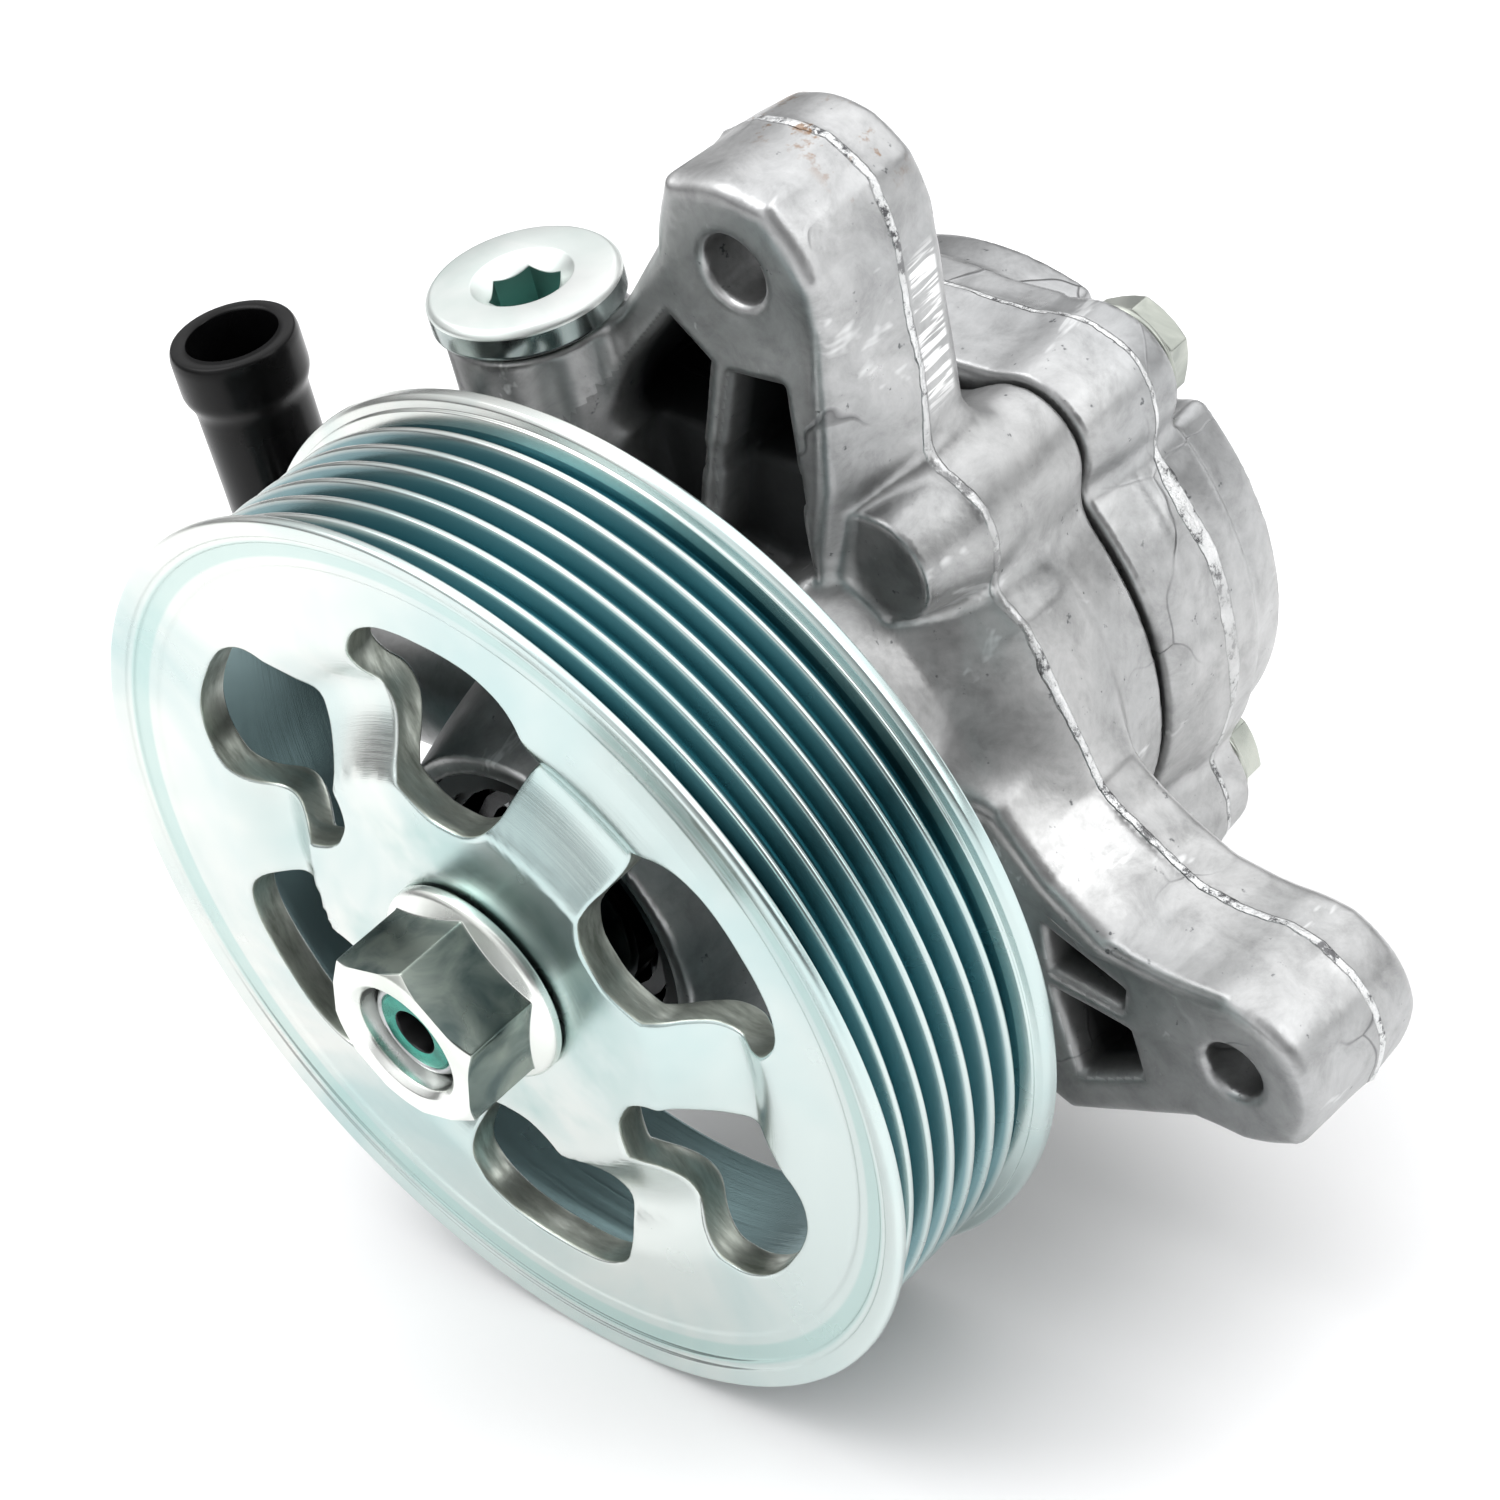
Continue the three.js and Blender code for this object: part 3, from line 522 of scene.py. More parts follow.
def pulley_zinc():
    """Turned and zinc plated: pale aqua with fine lathe lines, deep teal low in the grooves, and
    painted shade and reflection on its +x side, inside the rim, on the front lip and round the nut.
    """
    m = Nodes("pulley_zinc")
    radius, axial = m.radius(), m.axial()
    haze = m.noise(22, 4, 0.55, distort=0.8)
    colour = m.mix(m.ramp(haze, (0.40, 0.0), (0.64, 1.0)), (0.71, 0.73, 0.70, 1),
                   (0.47, 0.595, 0.585, 1))
    split = m.add("ShaderNodeSeparateXYZ")
    m.link(m.coords, split.inputs[0])
    # Painted shade: the +x side, in the pulley's own coordinates, is tinted a darker aqua, so it
    # turns with the pulley.
    painted_side_shade = m.maths("MULTIPLY", m.maths("ADD", split.outputs[0], 0.005), 22.0, clamp=True)
    colour = m.mix(m.maths("MULTIPLY", painted_side_shade, 0.5), colour, (0.54, 0.67, 0.665, 1))
    # Deep teal low in the belt grooves: partly the plating's passivation tint, partly painted
    # shade.
    depth = m.maths("DIVIDE", m.maths("SUBTRACT", 59.2, radius), 3.2, clamp=True)
    on_rim = m.maths("MULTIPLY", m.maths("GREATER_THAN", radius, 55.2),
                     m.maths("GREATER_THAN", axial, 2.0))
    on_belt = m.maths("MULTIPLY", on_rim, m.maths("LESS_THAN", axial, 25.4))
    groove_tint_and_shade = m.maths("MULTIPLY", m.ramp(depth, (0.08, 0.0), (0.3, 0.8), (1.0, 1.0)), on_belt)
    colour = m.mix(groove_tint_and_shade, colour, (0.075, 0.21, 0.24, 1))
    # Painted shade: the inside of the rim, behind the web, is darker teal.
    inside = m.maths("MULTIPLY", m.maths("LESS_THAN", radius, 54.6),
                     m.maths("GREATER_THAN", axial, 7.6))
    colour = m.mix(inside, colour, (0.22, 0.33, 0.34, 1))
    # Painted reflection: a darker teal band on the front lip.
    lip_reflection = m.maths("MULTIPLY", band(m, radius, 56.9, 1.0, 0.4), m.maths("LESS_THAN", axial, 1.6))
    colour = m.mix(m.maths("MULTIPLY", lip_reflection, 0.5), colour, (0.36, 0.56, 0.53, 1))
    # Painted shade: a blotchy darker teal ring round the nut on the front of the hub.
    nut_shade = m.maths("MULTIPLY", band(m, radius, 17.5, 3.0, 4.0),
                        m.ramp(m.noise(48, 4, 0.6), (0.42, 0.0), (0.58, 0.7)))
    colour = m.mix(m.maths("MULTIPLY", nut_shade, m.maths("LESS_THAN", axial, 0.5)), colour,
                   (0.36, 0.52, 0.50, 1))
    lines = m.add("ShaderNodeTexNoise", noise_dimensions="1D")
    m.link(m.maths("ADD", radius, m.maths("MULTIPLY", axial, 1.7)), lines.inputs["W"])
    lines.inputs["Scale"].default_value = 6.0
    lines.inputs["Detail"].default_value = 3.0
    normal = m.bump(m.maths("MULTIPLY", lines.outputs["Fac"], m.maths("SUBTRACT", 1.0, on_rim)),
                    0.00003, 0.5)
    rough = m.ramp(m.noise(45, 4, 0.6), (0.3, 0.16), (0.7, 0.30))
    return m.finish(colour, 1.0, rough, normal)


def cut_zinc():
    """Pressed window walls: duller, olive and streaked through the sheet."""
    m = Nodes("cut_zinc")
    streak = m.noise(120, 4, 0.6, stretch=(1.0, 4.0, 1.0))
    colour = m.ramp(streak, (0.3, (0.20, 0.22, 0.19)), (0.5, (0.42, 0.45, 0.40)),
                    (0.7, (0.62, 0.66, 0.60)))
    return m.finish(colour, 1.0, m.ramp(streak, (0.3, 0.5), (0.7, 0.3)),
                    m.bump(streak, 0.0002, 0.5))


def black_pipe():
    m = Nodes("black_pipe")
    fine = m.noise(300, 4, 0.6)
    rough = m.ramp(m.noise(60, 4, 0.6), (0.3, 0.16), (0.7, 0.34))
    colour = m.ramp(fine, (0.3, (0.002, 0.002, 0.002)), (0.8, (0.005, 0.005, 0.0055)))
    return m.finish(colour, 0.0, rough, m.bump(fine, 0.00002, 0.5), IOR=1.27)


def steel():
    m = Nodes("ground_steel")
    fine = m.noise(200, 5, 0.6, stretch=(1.0, 6.0, 1.0))
    colour = m.ramp(fine, (0.3, (0.36, 0.37, 0.38)), (0.7, (0.58, 0.59, 0.60)))
    return m.finish(colour, 1.0, m.ramp(fine, (0.3, 0.36), (0.7, 0.24)), m.bump(fine, 0.00002, 0.4))


def rubber():
    m = Nodes("rubber")
    fine = m.noise(500, 3, 0.6)
    colour = m.ramp(fine, (0.3, (0.012, 0.012, 0.012)), (0.7, (0.03, 0.03, 0.03)))
    return m.finish(colour, 0.0, m.ramp(fine, (0.3, 0.7), (0.7, 0.85)), m.bump(fine, 0.00003, 0.5))


def teal_steel():
    """The shaft's end face, with a thick green passivation."""
    m = Nodes("teal_steel")
    haze = m.noise(260, 4, 0.6)
    colour = m.ramp(haze, (0.3, (0.0, 0.16, 0.12)), (0.7, (0.02, 0.36, 0.27)))
    return m.finish(colour, 0.7, m.ramp(haze, (0.3, 0.3), (0.7, 0.18)), m.bump(haze, 0.00002, 0.4))


CAST = cast_aluminium("cast_aluminium")
CAST_POCKET_SHADE = cast_aluminium("cast_pocket_shade", True)
ZINC = zinc("bright_zinc", (0.80, 0.82, 0.80), (0.64, 0.71, 0.68), 0.3, 60)
# Painted shade: the cover bolts' zinc is darker than the other zinc.
SHADED_BOLT_ZINC = zinc("bolt_zinc_shaded", (0.50, 0.52, 0.47), (0.20, 0.22, 0.20), 0.26, 110)
PULLEY_ZINC = pulley_zinc()
CUT_ZINC = cut_zinc()
PIPE_BLACK = black_pipe()
STEEL = steel()
RUBBER = rubber()
TEAL = teal_steel()
NUT_ZINC = zinc("nut_zinc", (0.86, 0.88, 0.85), (0.66, 0.70, 0.64), 0.22)
# Painted shade: a darker copy of the nut's zinc for its hexagon sides.
NUT_SIDE_SHADE = zinc("nut_side_shade", (0.36, 0.40, 0.36), (0.10, 0.14, 0.14), 0.24, 150)
# Painted shade: a darker copy of the zinc for the plug's shoulder and round side.
PLUG_SIDE_SHADE = zinc("plug_side_shade", (0.38, 0.43, 0.42), (0.16, 0.20, 0.195), 0.16, 110)
# Painted shade: steel painted near black for the bearing and the shaft's centre hole.
SHADE_STEEL = zinc("steel_painted_shade", (0.05, 0.05, 0.052), (0.02, 0.02, 0.021), 0.3)
SOCKET_ZINC = zinc("socket_zinc", (0.30, 0.46, 0.42), (0.20, 0.36, 0.33), 0.3)

BY_SLOT = {
    "cast_aluminium": CAST,
    "zinc_plate": ZINC,
    "steel": STEEL,
    "black_plastic": PIPE_BLACK,
    "rubber": RUBBER,
}
slots = {s["node"]: s["material_slot"] for s in frame["record"]["subparts"]}
for name, node in frame["nodes"].items():
    node.data.materials.clear()
    node.data.materials.append(BY_SLOT[slots[name]])
# Painted shade: the bearing races, cage and snap ring, in the housing's shade behind the windows,
# are painted near black.
for dark in ("bearing_outer_race", "bearing_inner_race", "bearing_cage", "bearing_snap_ring"):
    frame["nodes"][dark].data.materials[0] = SHADE_STEEL
# Painted shade: the cover bolts get the darker zinc.
for bolt in ("cover_bolt_1", "cover_bolt_2", "cover_bolt_3", "cover_bolt_4"):
    frame["nodes"][bolt].data.materials[0] = SHADED_BOLT_ZINC


# ---- pulley --------------------------------------------------------------------------------------


def smooth_curve(points, steps):
    """Catmull-Rom through the points, ends held."""
    p = np.asarray(points, float)
    p = np.vstack([2 * p[0] - p[1], p, 2 * p[-1] - p[-2]])
    out = []
    for a, b, c, d in zip(p, p[1:], p[2:], p[3:]):
        for t in np.arange(steps) / steps:
            square = (2 * a - 5 * b + 4 * c - d) * t**2
            cube = (3 * b - a - 3 * c + d) * t**3
            out.append(0.5 * (2 * b + (c - a) * t + square + cube))
    return np.array(out + [p[-2]])


WEB_CURVE = smooth_curve(
    [(20, -0.7), (25, -0.7), (27, -0.7), (28, 0.1), (31, 2.4), (34, 4.1), (37, 4.55), (40, 2.9),
     (43, 1.7),
     (45, 1.6), (50, 1.75), (54, 1.75)], 6
)
WINDOW_HALF = smooth_curve(
    [(22.9, 0.0), (23.2, 6), (25, 11.6), (28, 15.7), (31, 16.5), (34, 17.3), (37, 18.9),
     (40, 19.1), (43, 17.9),
     (46, 14.5), (47.6, 9.5), (48, 4.5), (48, 0)], 5
)
WEB_INNER, WEB_OUTER, WEB_THICKNESS, WINDOW_MIDDLE = 20.5, 50.0, 4.3, 36.0
INNER_STEPS, SIDE_STEPS, OUTER_STEPS = 14, 22, 44


def web_front(r):
    return np.interp(r, WEB_CURVE[:, 0], WEB_CURVE[:, 1])


def sector_border():
    """The edge of a sixth of the web, from its lower inner corner round to the start."""
    half = math.pi / 6
    points = []
    for k in range(INNER_STEPS):
        a = half - 2 * half * k / INNER_STEPS
        points.append((WEB_INNER * math.cos(a), WEB_INNER * math.sin(a)))
    for k in range(SIDE_STEPS):
        r = WEB_INNER + (WEB_OUTER - WEB_INNER) * k / SIDE_STEPS
        points.append((r * math.cos(half), -r * math.sin(half)))
    for k in range(OUTER_STEPS):
        a = -half + 2 * half * k / OUTER_STEPS
        points.append((WEB_OUTER * math.cos(a), WEB_OUTER * math.sin(a)))
    for k in range(SIDE_STEPS):
        r = WEB_OUTER - (WEB_OUTER - WEB_INNER) * k / SIDE_STEPS
        points.append((r * math.cos(half), r * math.sin(half)))
    return np.array(points)


def window_at(directions):
    """Where rays from the window's middle meet its outline."""
    a = np.radians(WINDOW_HALF[:, 1])
    u, v = WINDOW_HALF[:, 0] * np.cos(a) - WINDOW_MIDDLE, WINDOW_HALF[:, 0] * np.sin(a)
    turn, reach = np.arctan2(v, u)[::-1], np.hypot(u, v)[::-1]
    r = np.interp(np.abs(directions), turn, reach)
    return np.stack([WINDOW_MIDDLE + r * np.cos(directions), r * np.sin(directions)], 1)


def web_sector():
    """Loops from the sector's edge over the front, through the window wall and back out."""
    border = sector_border()
    directions = np.arctan2(border[:, 1], border[:, 0] - WINDOW_MIDDLE)
    hole = window_at(directions)
    outward = border - hole
    length = np.linalg.norm(outward, axis=1, keepdims=True)
    edge = 0.5
    loops = []

    def loop(flat, depth):
        y = web_front(np.hypot(flat[:, 0], flat[:, 1])) + depth
        loops.append(np.stack([flat[:, 0], y, flat[:, 1]], 1))

    spread = np.linspace(1, 0, 15)[:-1]
    for t in spread:
        loop(hole + outward / length * (edge + (length - edge) * t), 0)
    for k in range(4):
        a = math.pi / 2 * k / 3
        loop(hole + outward / length * edge * (1 - math.sin(a)), edge * (1 - math.cos(a)))
    for depth in (1.6, 2.7):
        loop(hole, depth)
    for k in range(4):
        a = math.pi / 2 * k / 3
        inset = edge * (1 - math.sin(a))
        loop(hole + outward / length * edge * (1 - math.cos(a)), WEB_THICKNESS - inset)
    for t in spread[::-1]:
        loop(hole + outward / length * (edge + (length - edge) * t), WEB_THICKNESS)
    count = len(border)
    verts = np.concatenate(loops)
    faces, wall = [], []
    first_wall = len(spread) + 2
    for i in range(len(loops) - 1):
        for j in range(count):
            k = (j + 1) % count
            faces.append((i * count + j, i * count + k, (i + 1) * count + k, (i + 1) * count + j))
            wall.append(first_wall <= i <= first_wall + 4)
    return verts, faces, wall


def groove_profile():
    out = []
    for i in range(GROOVES):
        y = FIRST_GROOVE_Y + GROOVE_PITCH * i
        out += [(56, y - 0.4, 0.3), (56, y + 0.4, 0.3)]
        if i < GROOVES - 1:
            out += [(58.9, y + GROOVE_PITCH / 2 - 0.33, 0.28),
                    (58.9, y + GROOVE_PITCH / 2 + 0.33, 0.28)]
    return out


def build_pulley():
    verts, faces, index = [], [], []
    total = 0

    def put(v, f, material):
        nonlocal total
        verts.append(np.asarray(v, float))
        faces.extend([tuple(i + total for i in face) for face in f])
        index.extend(material if isinstance(material, list) else [material] * len(f))
        total += len(v)

    sector, quads, wall = web_sector()
    for k in range(6):
        a = WINDOW_ANGLE + k * math.pi / 3
        c, s = math.cos(a), math.sin(a)
        turned = np.stack([sector[:, 0] * c - sector[:, 2] * s, sector[:, 1],
                           sector[:, 0] * s + sector[:, 2] * c], 1)
        put(turned, quads, [int(w) for w in wall])

    start = WINDOW_ANGLE - math.pi / 6
    front = float(web_front(WEB_OUTER))
    back = front + WEB_THICKNESS
    rim = rounded(
        [(50, front), (54, front, 0.3), (54.6, 1.45, 0.2), (57.6, 1.15, 0.2), (57.9, 0.8, 0.15),
         (58.6, 0.75, 0.15), (58.9, 0.42, 0.15), (60.2, 0.08, 0.3), (60.9, 0, 0.3),
         (61.25, 0.4, 0.25),
         (61.25, 1.2, 0.25)]
        + groove_profile()
        + [(59.4, 25.7, 0.2), (59.4, 26.1, 0.15), (60.4, 26.4, 0.2), (60.85, 26.9, 0.2),
           (60.85, 28.2, 0.3), (60.6, 28.45, 0.2), (53.6, 28.45, 0.4), (53, 27.9, 0.4),
           (53, 9.3, 2.0),
           (51.5, back + 0.2, 0.6), (50, back)]
    )
    put(*spin(rim, circle(6 * OUTER_STEPS, start)), 0)
    hub = rounded(
        [(WEB_INNER, -0.7), (7.4, -0.7, 0.2), (7.2, -0.5, 0.2), (7.2, 3.3, 0.2), (8.85, 3.3, 0.2),
         (8.85, 12.9, 0.2),
         (11.3, 12.9, 0.5), (11.3, 3.6, 1.0), (WEB_INNER, 3.6)]
    )
    put(*spin(hub, circle(6 * INNER_STEPS, start)), 0)
    add_mesh(
        "pulley_fine", np.concatenate(verts), faces, [PULLEY_ZINC, CUT_ZINC], "shaft_assembly",
        ["pulley"],
        index=index, weld=True,
    )


# ---- hexagons, nut and bolts ---------------------------------------------------------------------

NEAR_CORNER = (
    0, 0.5, 1, 1.6, 2.4, 3.6, 5.5, 8, 11.5, 16, 20.5, 25, 30, 35, 39.5, 44, 48.5, 52, 54.5, 56.4,
    57.6, 58.4, 59, 59.5,
)


def hex_angles(corner):
    return np.radians([corner + 60 * k + a for k in range(6) for a in NEAR_CORNER])


def hex_radius(angles, apothem, corner, sharp=110):
    normals = math.radians(corner + 30) + np.arange(6) * math.pi / 3
    facing = np.maximum(np.cos(angles[:, None] - normals[None]), 0) / apothem
    return (facing**sharp).sum(1) ** (-1 / sharp)


def varied_spin(profiles):
    """Vertices and quads of equally long profiles, one per angle: [(angle, points), ...]."""
    n, m = len(profiles[0][1]), len(profiles)
    verts = np.zeros((n, m, 3))
    for j, (angle, points) in enumerate(profiles):
        points = np.asarray(points)
        verts[:, j] = np.stack([points[:, 0] * math.cos(angle), points[:, 1],
                                points[:, 0] * math.sin(angle)], 1)
    faces = []
    for i in range(n - 1):
        for j in range(m):
            k = (j + 1) % m
            faces.append((i * m + j, i * m + k, (i + 1) * m + k, (i + 1) * m + j))
    return verts.reshape(-1, 3), faces


def build_nut():
    """Flanged hub nut; the profile at each angle follows the hexagon out of the sloping flange."""
    corner = 13.0
    angles = hex_angles(corner)
    profiles = []
    for angle, r in zip(angles, hex_radius(angles, 10.45, corner)):
        foot = -2.75 - (12.9 - r) * 0.42
        cut = max(r - 10.75, 0.02)
        profiles.append((angle, rounded([
            (7.2, -1.05), (12.9, -1.05, 0.3), (13.25, -1.3, 0.3), (13.25, -2.3, 0.35),
            (12.85, -2.75, 0.5), (r + 0.02, foot, 0.25), (r, -13.75 + 0.62 * cut, 0.25),
            (r - cut, -13.76, 0.25), (8.1, -13.76, 0.25), (7.25, -12.9, 0.25), (7.2, -1.05),
        ])))
    verts, faces = varied_spin(profiles)
    n, m = len(profiles[0][1]), len(angles)
    # Rows 18 to 22, the hexagon's sides, get the zinc with painted shade.
    index = [1 if 18 <= i <= 22 else 0 for i in range(n - 1) for _ in range(m)]
    add_mesh("pulley_nut_fine", verts, faces, [NUT_ZINC, NUT_SIDE_SHADE], "shaft_assembly",
             ["pulley_nut"], index=index)


def build_bolt(name, centre, corner):
    """Flanged bolt head to the rear, with a dished top, on a plain shank."""
    seat = COVER_SEAT_Y + 0.3
    angles = hex_angles(corner)
    profiles = []
    for angle, r in zip(angles, hex_radius(angles, 5.95, corner)):
        cut = max(r - 6.0, 0.02)
        profiles.append((angle, rounded([
            (3.95, 60.4), (3.95, seat + 0.05), (7.2, seat + 0.05, 0.25), (7.55, seat + 0.3, 0.2),
            (7.55, seat + 0.85, 0.25), (7.1, seat + 1.15, 0.3), (r + 0.02, seat + 1.75, 0.25),
            (r, seat + 5.2 - 0.55 * cut, 0.25), (r - cut - 0.3, seat + 5.2, 0.25),
            (4.2, seat + 5.2, 0.3), (3.4, seat + 4.6, 0.3), (0.4, seat + 4.5),
        ])))
    verts, faces = varied_spin(profiles)
    verts, faces = capped(verts, faces, len(angles))
    verts = np.asarray(verts) + (centre[0], 0, centre[1])
    add_mesh(name + "_fine", verts, faces, [SHADED_BOLT_ZINC], "pump_body", [name])


# ---- shaft and plug ------------------------------------------------------------------------------


def build_shaft():
    """Its end shows in the nut: a green face with a centre hole and a bright chamfer."""
    profile = rounded([
        (0.3, -6.4), (2.2, -7.6, 0.4), (2.9, -11.3, 0.15), (3.0, -11.48, 0.08),
        (5.1, -11.48, 0.15), (5.3, -11.2, 0.1), (5.45, -11.45, 0.1), (5.9, -11.45, 0.2),
        (6.55, -10.6, 0.2), (6.8, -10.1, 0.2), (6.8, 3.6), (8.45, 3.6, 0.2), (8.45, 36, 0.3),
        (7.45, 37, 0.2), (7.45, 82.9, 0.4), (0.3, 82.95),
    ])
    angles = circle(72)
    verts, faces = spin(profile, angles)
    hole = sum(1 for r, y in profile if r < 3.02) - 1
    middles = (profile[:-1, 0] + profile[1:, 0]) / 2
    rows = [0 if middle > 5.35 or i > 30 else 1 for i, middle in enumerate(middles)]
    # Painted shade: the centre hole gets the near-black steel.
    rows[:hole] = [2] * hole
    index = [row for row in rows for _ in angles]
    verts, faces = capped(verts, faces, len(angles))
    index += [2] * len(angles) + [0] * len(angles)
    add_mesh("drive_shaft_fine", verts, faces, [STEEL, TEAL, SHADE_STEEL], "shaft_assembly",
             ["drive_shaft"], index=index)


def build_plug():
    """Round plug with a countersunk hexagon socket, drawn about its own axis and stood on end."""
    corner = 8.0
    top = 61.65
    angles = hex_angles(corner)
    profiles = []
    for angle, r in zip(angles, hex_radius(angles, 4.0, corner, 160)):
        sink = top - (6.0 - r) * 0.85
        profiles.append((angle, rounded([
            (0.4, 49.05), (6.4, 49.05, 0.3), (7.15, 49.8, 0.3), (7.15, 57.35),
            (10.8, 57.35, 0.3), (11.65, 58.0, 0.3), (11.65, 60.9, 0.35),
            (10.95, top - 0.02, 0.3), (6.15, top, 0.12), (r + 0.35, sink + 0.18, 0.1),
            (r, sink - 0.15, 0.1), (r - 0.02, 55.4, 0.3), (0.4, 54.4),
        ])))
    verts, faces = varied_spin(profiles)
    n, m = len(profiles[0][1]), len(angles)
    # Rows 12 to 17, the plug's shoulder and round side, get the zinc with painted shade.
    index = [1 if i >= n - 6 else 2 if 12 <= i <= 17 else 0 for i in range(n - 1) for _ in range(m)]
    verts, faces = capped(verts, faces, m)
    index += [0] * m + [1] * m
    verts = np.asarray(verts)
    stood = np.stack([verts[:, 0] + VALVE_X, verts[:, 2] + VALVE_Y, verts[:, 1]], 1)
    add_mesh("valve_plug_fine", stood, faces, [ZINC, SOCKET_ZINC, PLUG_SIDE_SHADE], "pump_body",
             ["valve_plug"], index=index)


# ---- suction pipe --------------------------------------------------------------------------------


def build_pipe():
    """A moulded elbow: barbed mouth upwards, collar against the housing."""
    bend_r = 14.0

    def at(s):
        """Point and direction at a distance down the pipe from its mouth."""
        drop = PIPE_TOP - (INLET_Z + bend_r)
        arc = bend_r * math.pi / 2
        if s <= drop:
            return (PIPE_X, PIPE_TOP - s), (0.0, -1.0)
        if s <= drop + arc:
            a = (s - drop) / bend_r
            return (PIPE_X + bend_r * (1 - math.cos(a)),
                    INLET_Z + bend_r * (1 - math.sin(a))), (math.sin(a), -math.cos(a))
        return (PIPE_X + bend_r + s - drop - arc, INLET_Z), (1.0, 0.0)

    end = PIPE_TOP - (INLET_Z + bend_r) + bend_r * math.pi / 2 + (-49 - PIPE_X - bend_r)
    collar = end - 11.0
    outer = rounded([
        (6.15, 0.05), (8.1, 0.05, 0.5), (8.45, 1.2, 0.6), (8.45, 6.6, 0.8), (7.45, 8.8, 0.9),
        (7.35, 20), (7.35, 30), (7.35, 40), (7.35, 45), (7.35, collar - 3.2, 0.5),
        (10.5, collar - 3.1, 0.4), (10.5, collar - 0.35, 0.4), (7.35, collar - 0.3, 0.4),
        (7.35, end - 0.1, 0.4), (6.15, end - 0.05),
    ])
    radii, along = outer[:, 0], outer[:, 1]
    dense = [(radii[0], along[0])]
    for (r0, s0), (r1, s1) in zip(outer, outer[1:]):
        pieces = max(1, int((s1 - s0) / 1.2))
        for k in range(1, pieces + 1):
            dense.append((r0 + (r1 - r0) * k / pieces, s0 + (s1 - s0) * k / pieces))
    inner = [(6.05, end - 0.3 - k * 1.2) for k in range(int((end - 0.6) / 1.2))] + [(6.05, 0.35)]
    loops = []
    angles = circle(72)
    for r, s in dense + inner:
        (x, z), (tx, tz) = at(s)
        loops.append([(x + r * math.cos(a) * -tz, PIPE_Y + r * math.sin(a),
                       z + r * math.cos(a) * tx) for a in angles])
    m = len(angles)
    faces = []
    for i in range(len(loops)):
        k = (i + 1) % len(loops)
        for j in range(m):
            faces.append((i * m + j, i * m + (j + 1) % m, k * m + (j + 1) % m, k * m + j))
    add_mesh("suction_pipe_fine", np.concatenate(loops), faces, [PIPE_BLACK], "pump_body",
             ["suction_pipe"])


def build_valve_spring():
    """The flow control spring, with closed end coils; the real spring gets shorter as the spool
    rises.
    """
    coil_r, wire_r, turns, low, high = 4.4, 0.68, 5, 35.35, 48.6
    turn = np.linspace(0, 2 * math.pi * turns, turns * 48)
    rise = np.clip((turn / (2 * math.pi) - 0.5) / (turns - 1), 0, 1)
    middle = low + wire_r + (high - low - 2 * wire_r) * rise
    around = np.array(circle(14))
    radius = coil_r + wire_r * np.cos(around)
    x = VALVE_X + radius[None, :] * np.cos(turn)[:, None]
    y = VALVE_Y + radius[None, :] * np.sin(turn)[:, None]
    z = middle[:, None] + wire_r * np.sin(around)[None, :]
    verts = np.stack((x, y, z), -1).reshape(-1, 3)
    m = len(around)
    faces = [(i * m + j, i * m + (j + 1) % m, (i + 1) * m + (j + 1) % m, (i + 1) * m + j)
             for i in range(len(turn) - 1) for j in range(m)]
    verts, faces = capped(verts, faces, m)
    piece = add_mesh("valve_spring_fine", verts, faces, [STEEL], "pump_body", ["valve_spring"])
    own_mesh(piece)


# ---- castings ------------------------------------------------------------------------------------

UPPER_FRONT = [
    (9, 80.5), (24, 80), (28.2, 71), (28, 65), (24.5, 50), (22.5, 42), (18, 31), (8, 20),
    (-14, 22), (-19.5, 36), (-18.6, 42.5), (-14.5, 48), (-6, 57.5), (5, 70.5),
]
UPPER_PARTING = [
    (6, 78), (12, 81), (22, 80.5), (27, 76.6), (28.9, 70.1), (28.7, 63.7), (28, 55.1),
    (27.6, 48.4), (27, 42), (25.5, 35), (24, 28), (20, 10), (-14, 18), (-21, 36), (-20, 44),
    (-15.8, 49.5), (-6.8, 59), (3.5, 71.5),
]
LOWER_FRONT = [
    (26, 6), (38, 2), (44, -6.5), (51, -12.6), (60, -13.8), (68, -14), (75.5, -18.5), (77.6, -26),
    (75, -33.6), (67, -36.2), (60, -36), (40, -43.8), (22, -34), (16, -12),
]
LOWER_PARTING = [
    (30, 22), (35, 18.9), (37.2, 11.5), (40.3, 3.6), (42.5, -1.6), (46.1, -5.5), (50.6, -9.1),
    (55.1, -11.9), (60.7, -12.9), (66.3, -13.4), (71.8, -14.4), (76.3, -19.2), (78.3, -26),
    (76, -33), (68, -36.4), (60, -36.5), (40, -44.0), (20, -36), (14, -10),
]
LEFT_POCKET = [(4.5, 62), (9.6, 57), (3.4, 41), (-13.5, 43), (-3.2, 54.5)]
RIGHT_POCKET = [(12.4, 56.2), (20.6, 56.6), (18.9, 40), (6.4, 41)]
LEFT_SLOPE = [(4.6, 44), (-14, 44), (-17, 34), (-8, 27), (-1, 28)]
RIGHT_SLOPE = [(19.2, 44), (7.4, 44), (2, 28), (10, 26), (17, 29)]
ARM_POCKET_TOP = [(42, -13), (53, -18.5), (52, -22.5), (41.5, -20.5)]
ARM_POCKET_BOTTOM = [(41, -23), (52.5, -25), (53, -32), (43, -36.5)]
BARREL = [
    (-40, 10.4), (22.6, 10.4), (25.2, 19), (28, 31), (31, 43), (33, 51), (36.4, 57), (39.3, 61),
    (37.9, 79.2), (-40, 79.2),
]
LUG = [(-9, 51.5), (7, 51.5), (9.5, 61), (7.9, 79.2), (-9, 79.2)]
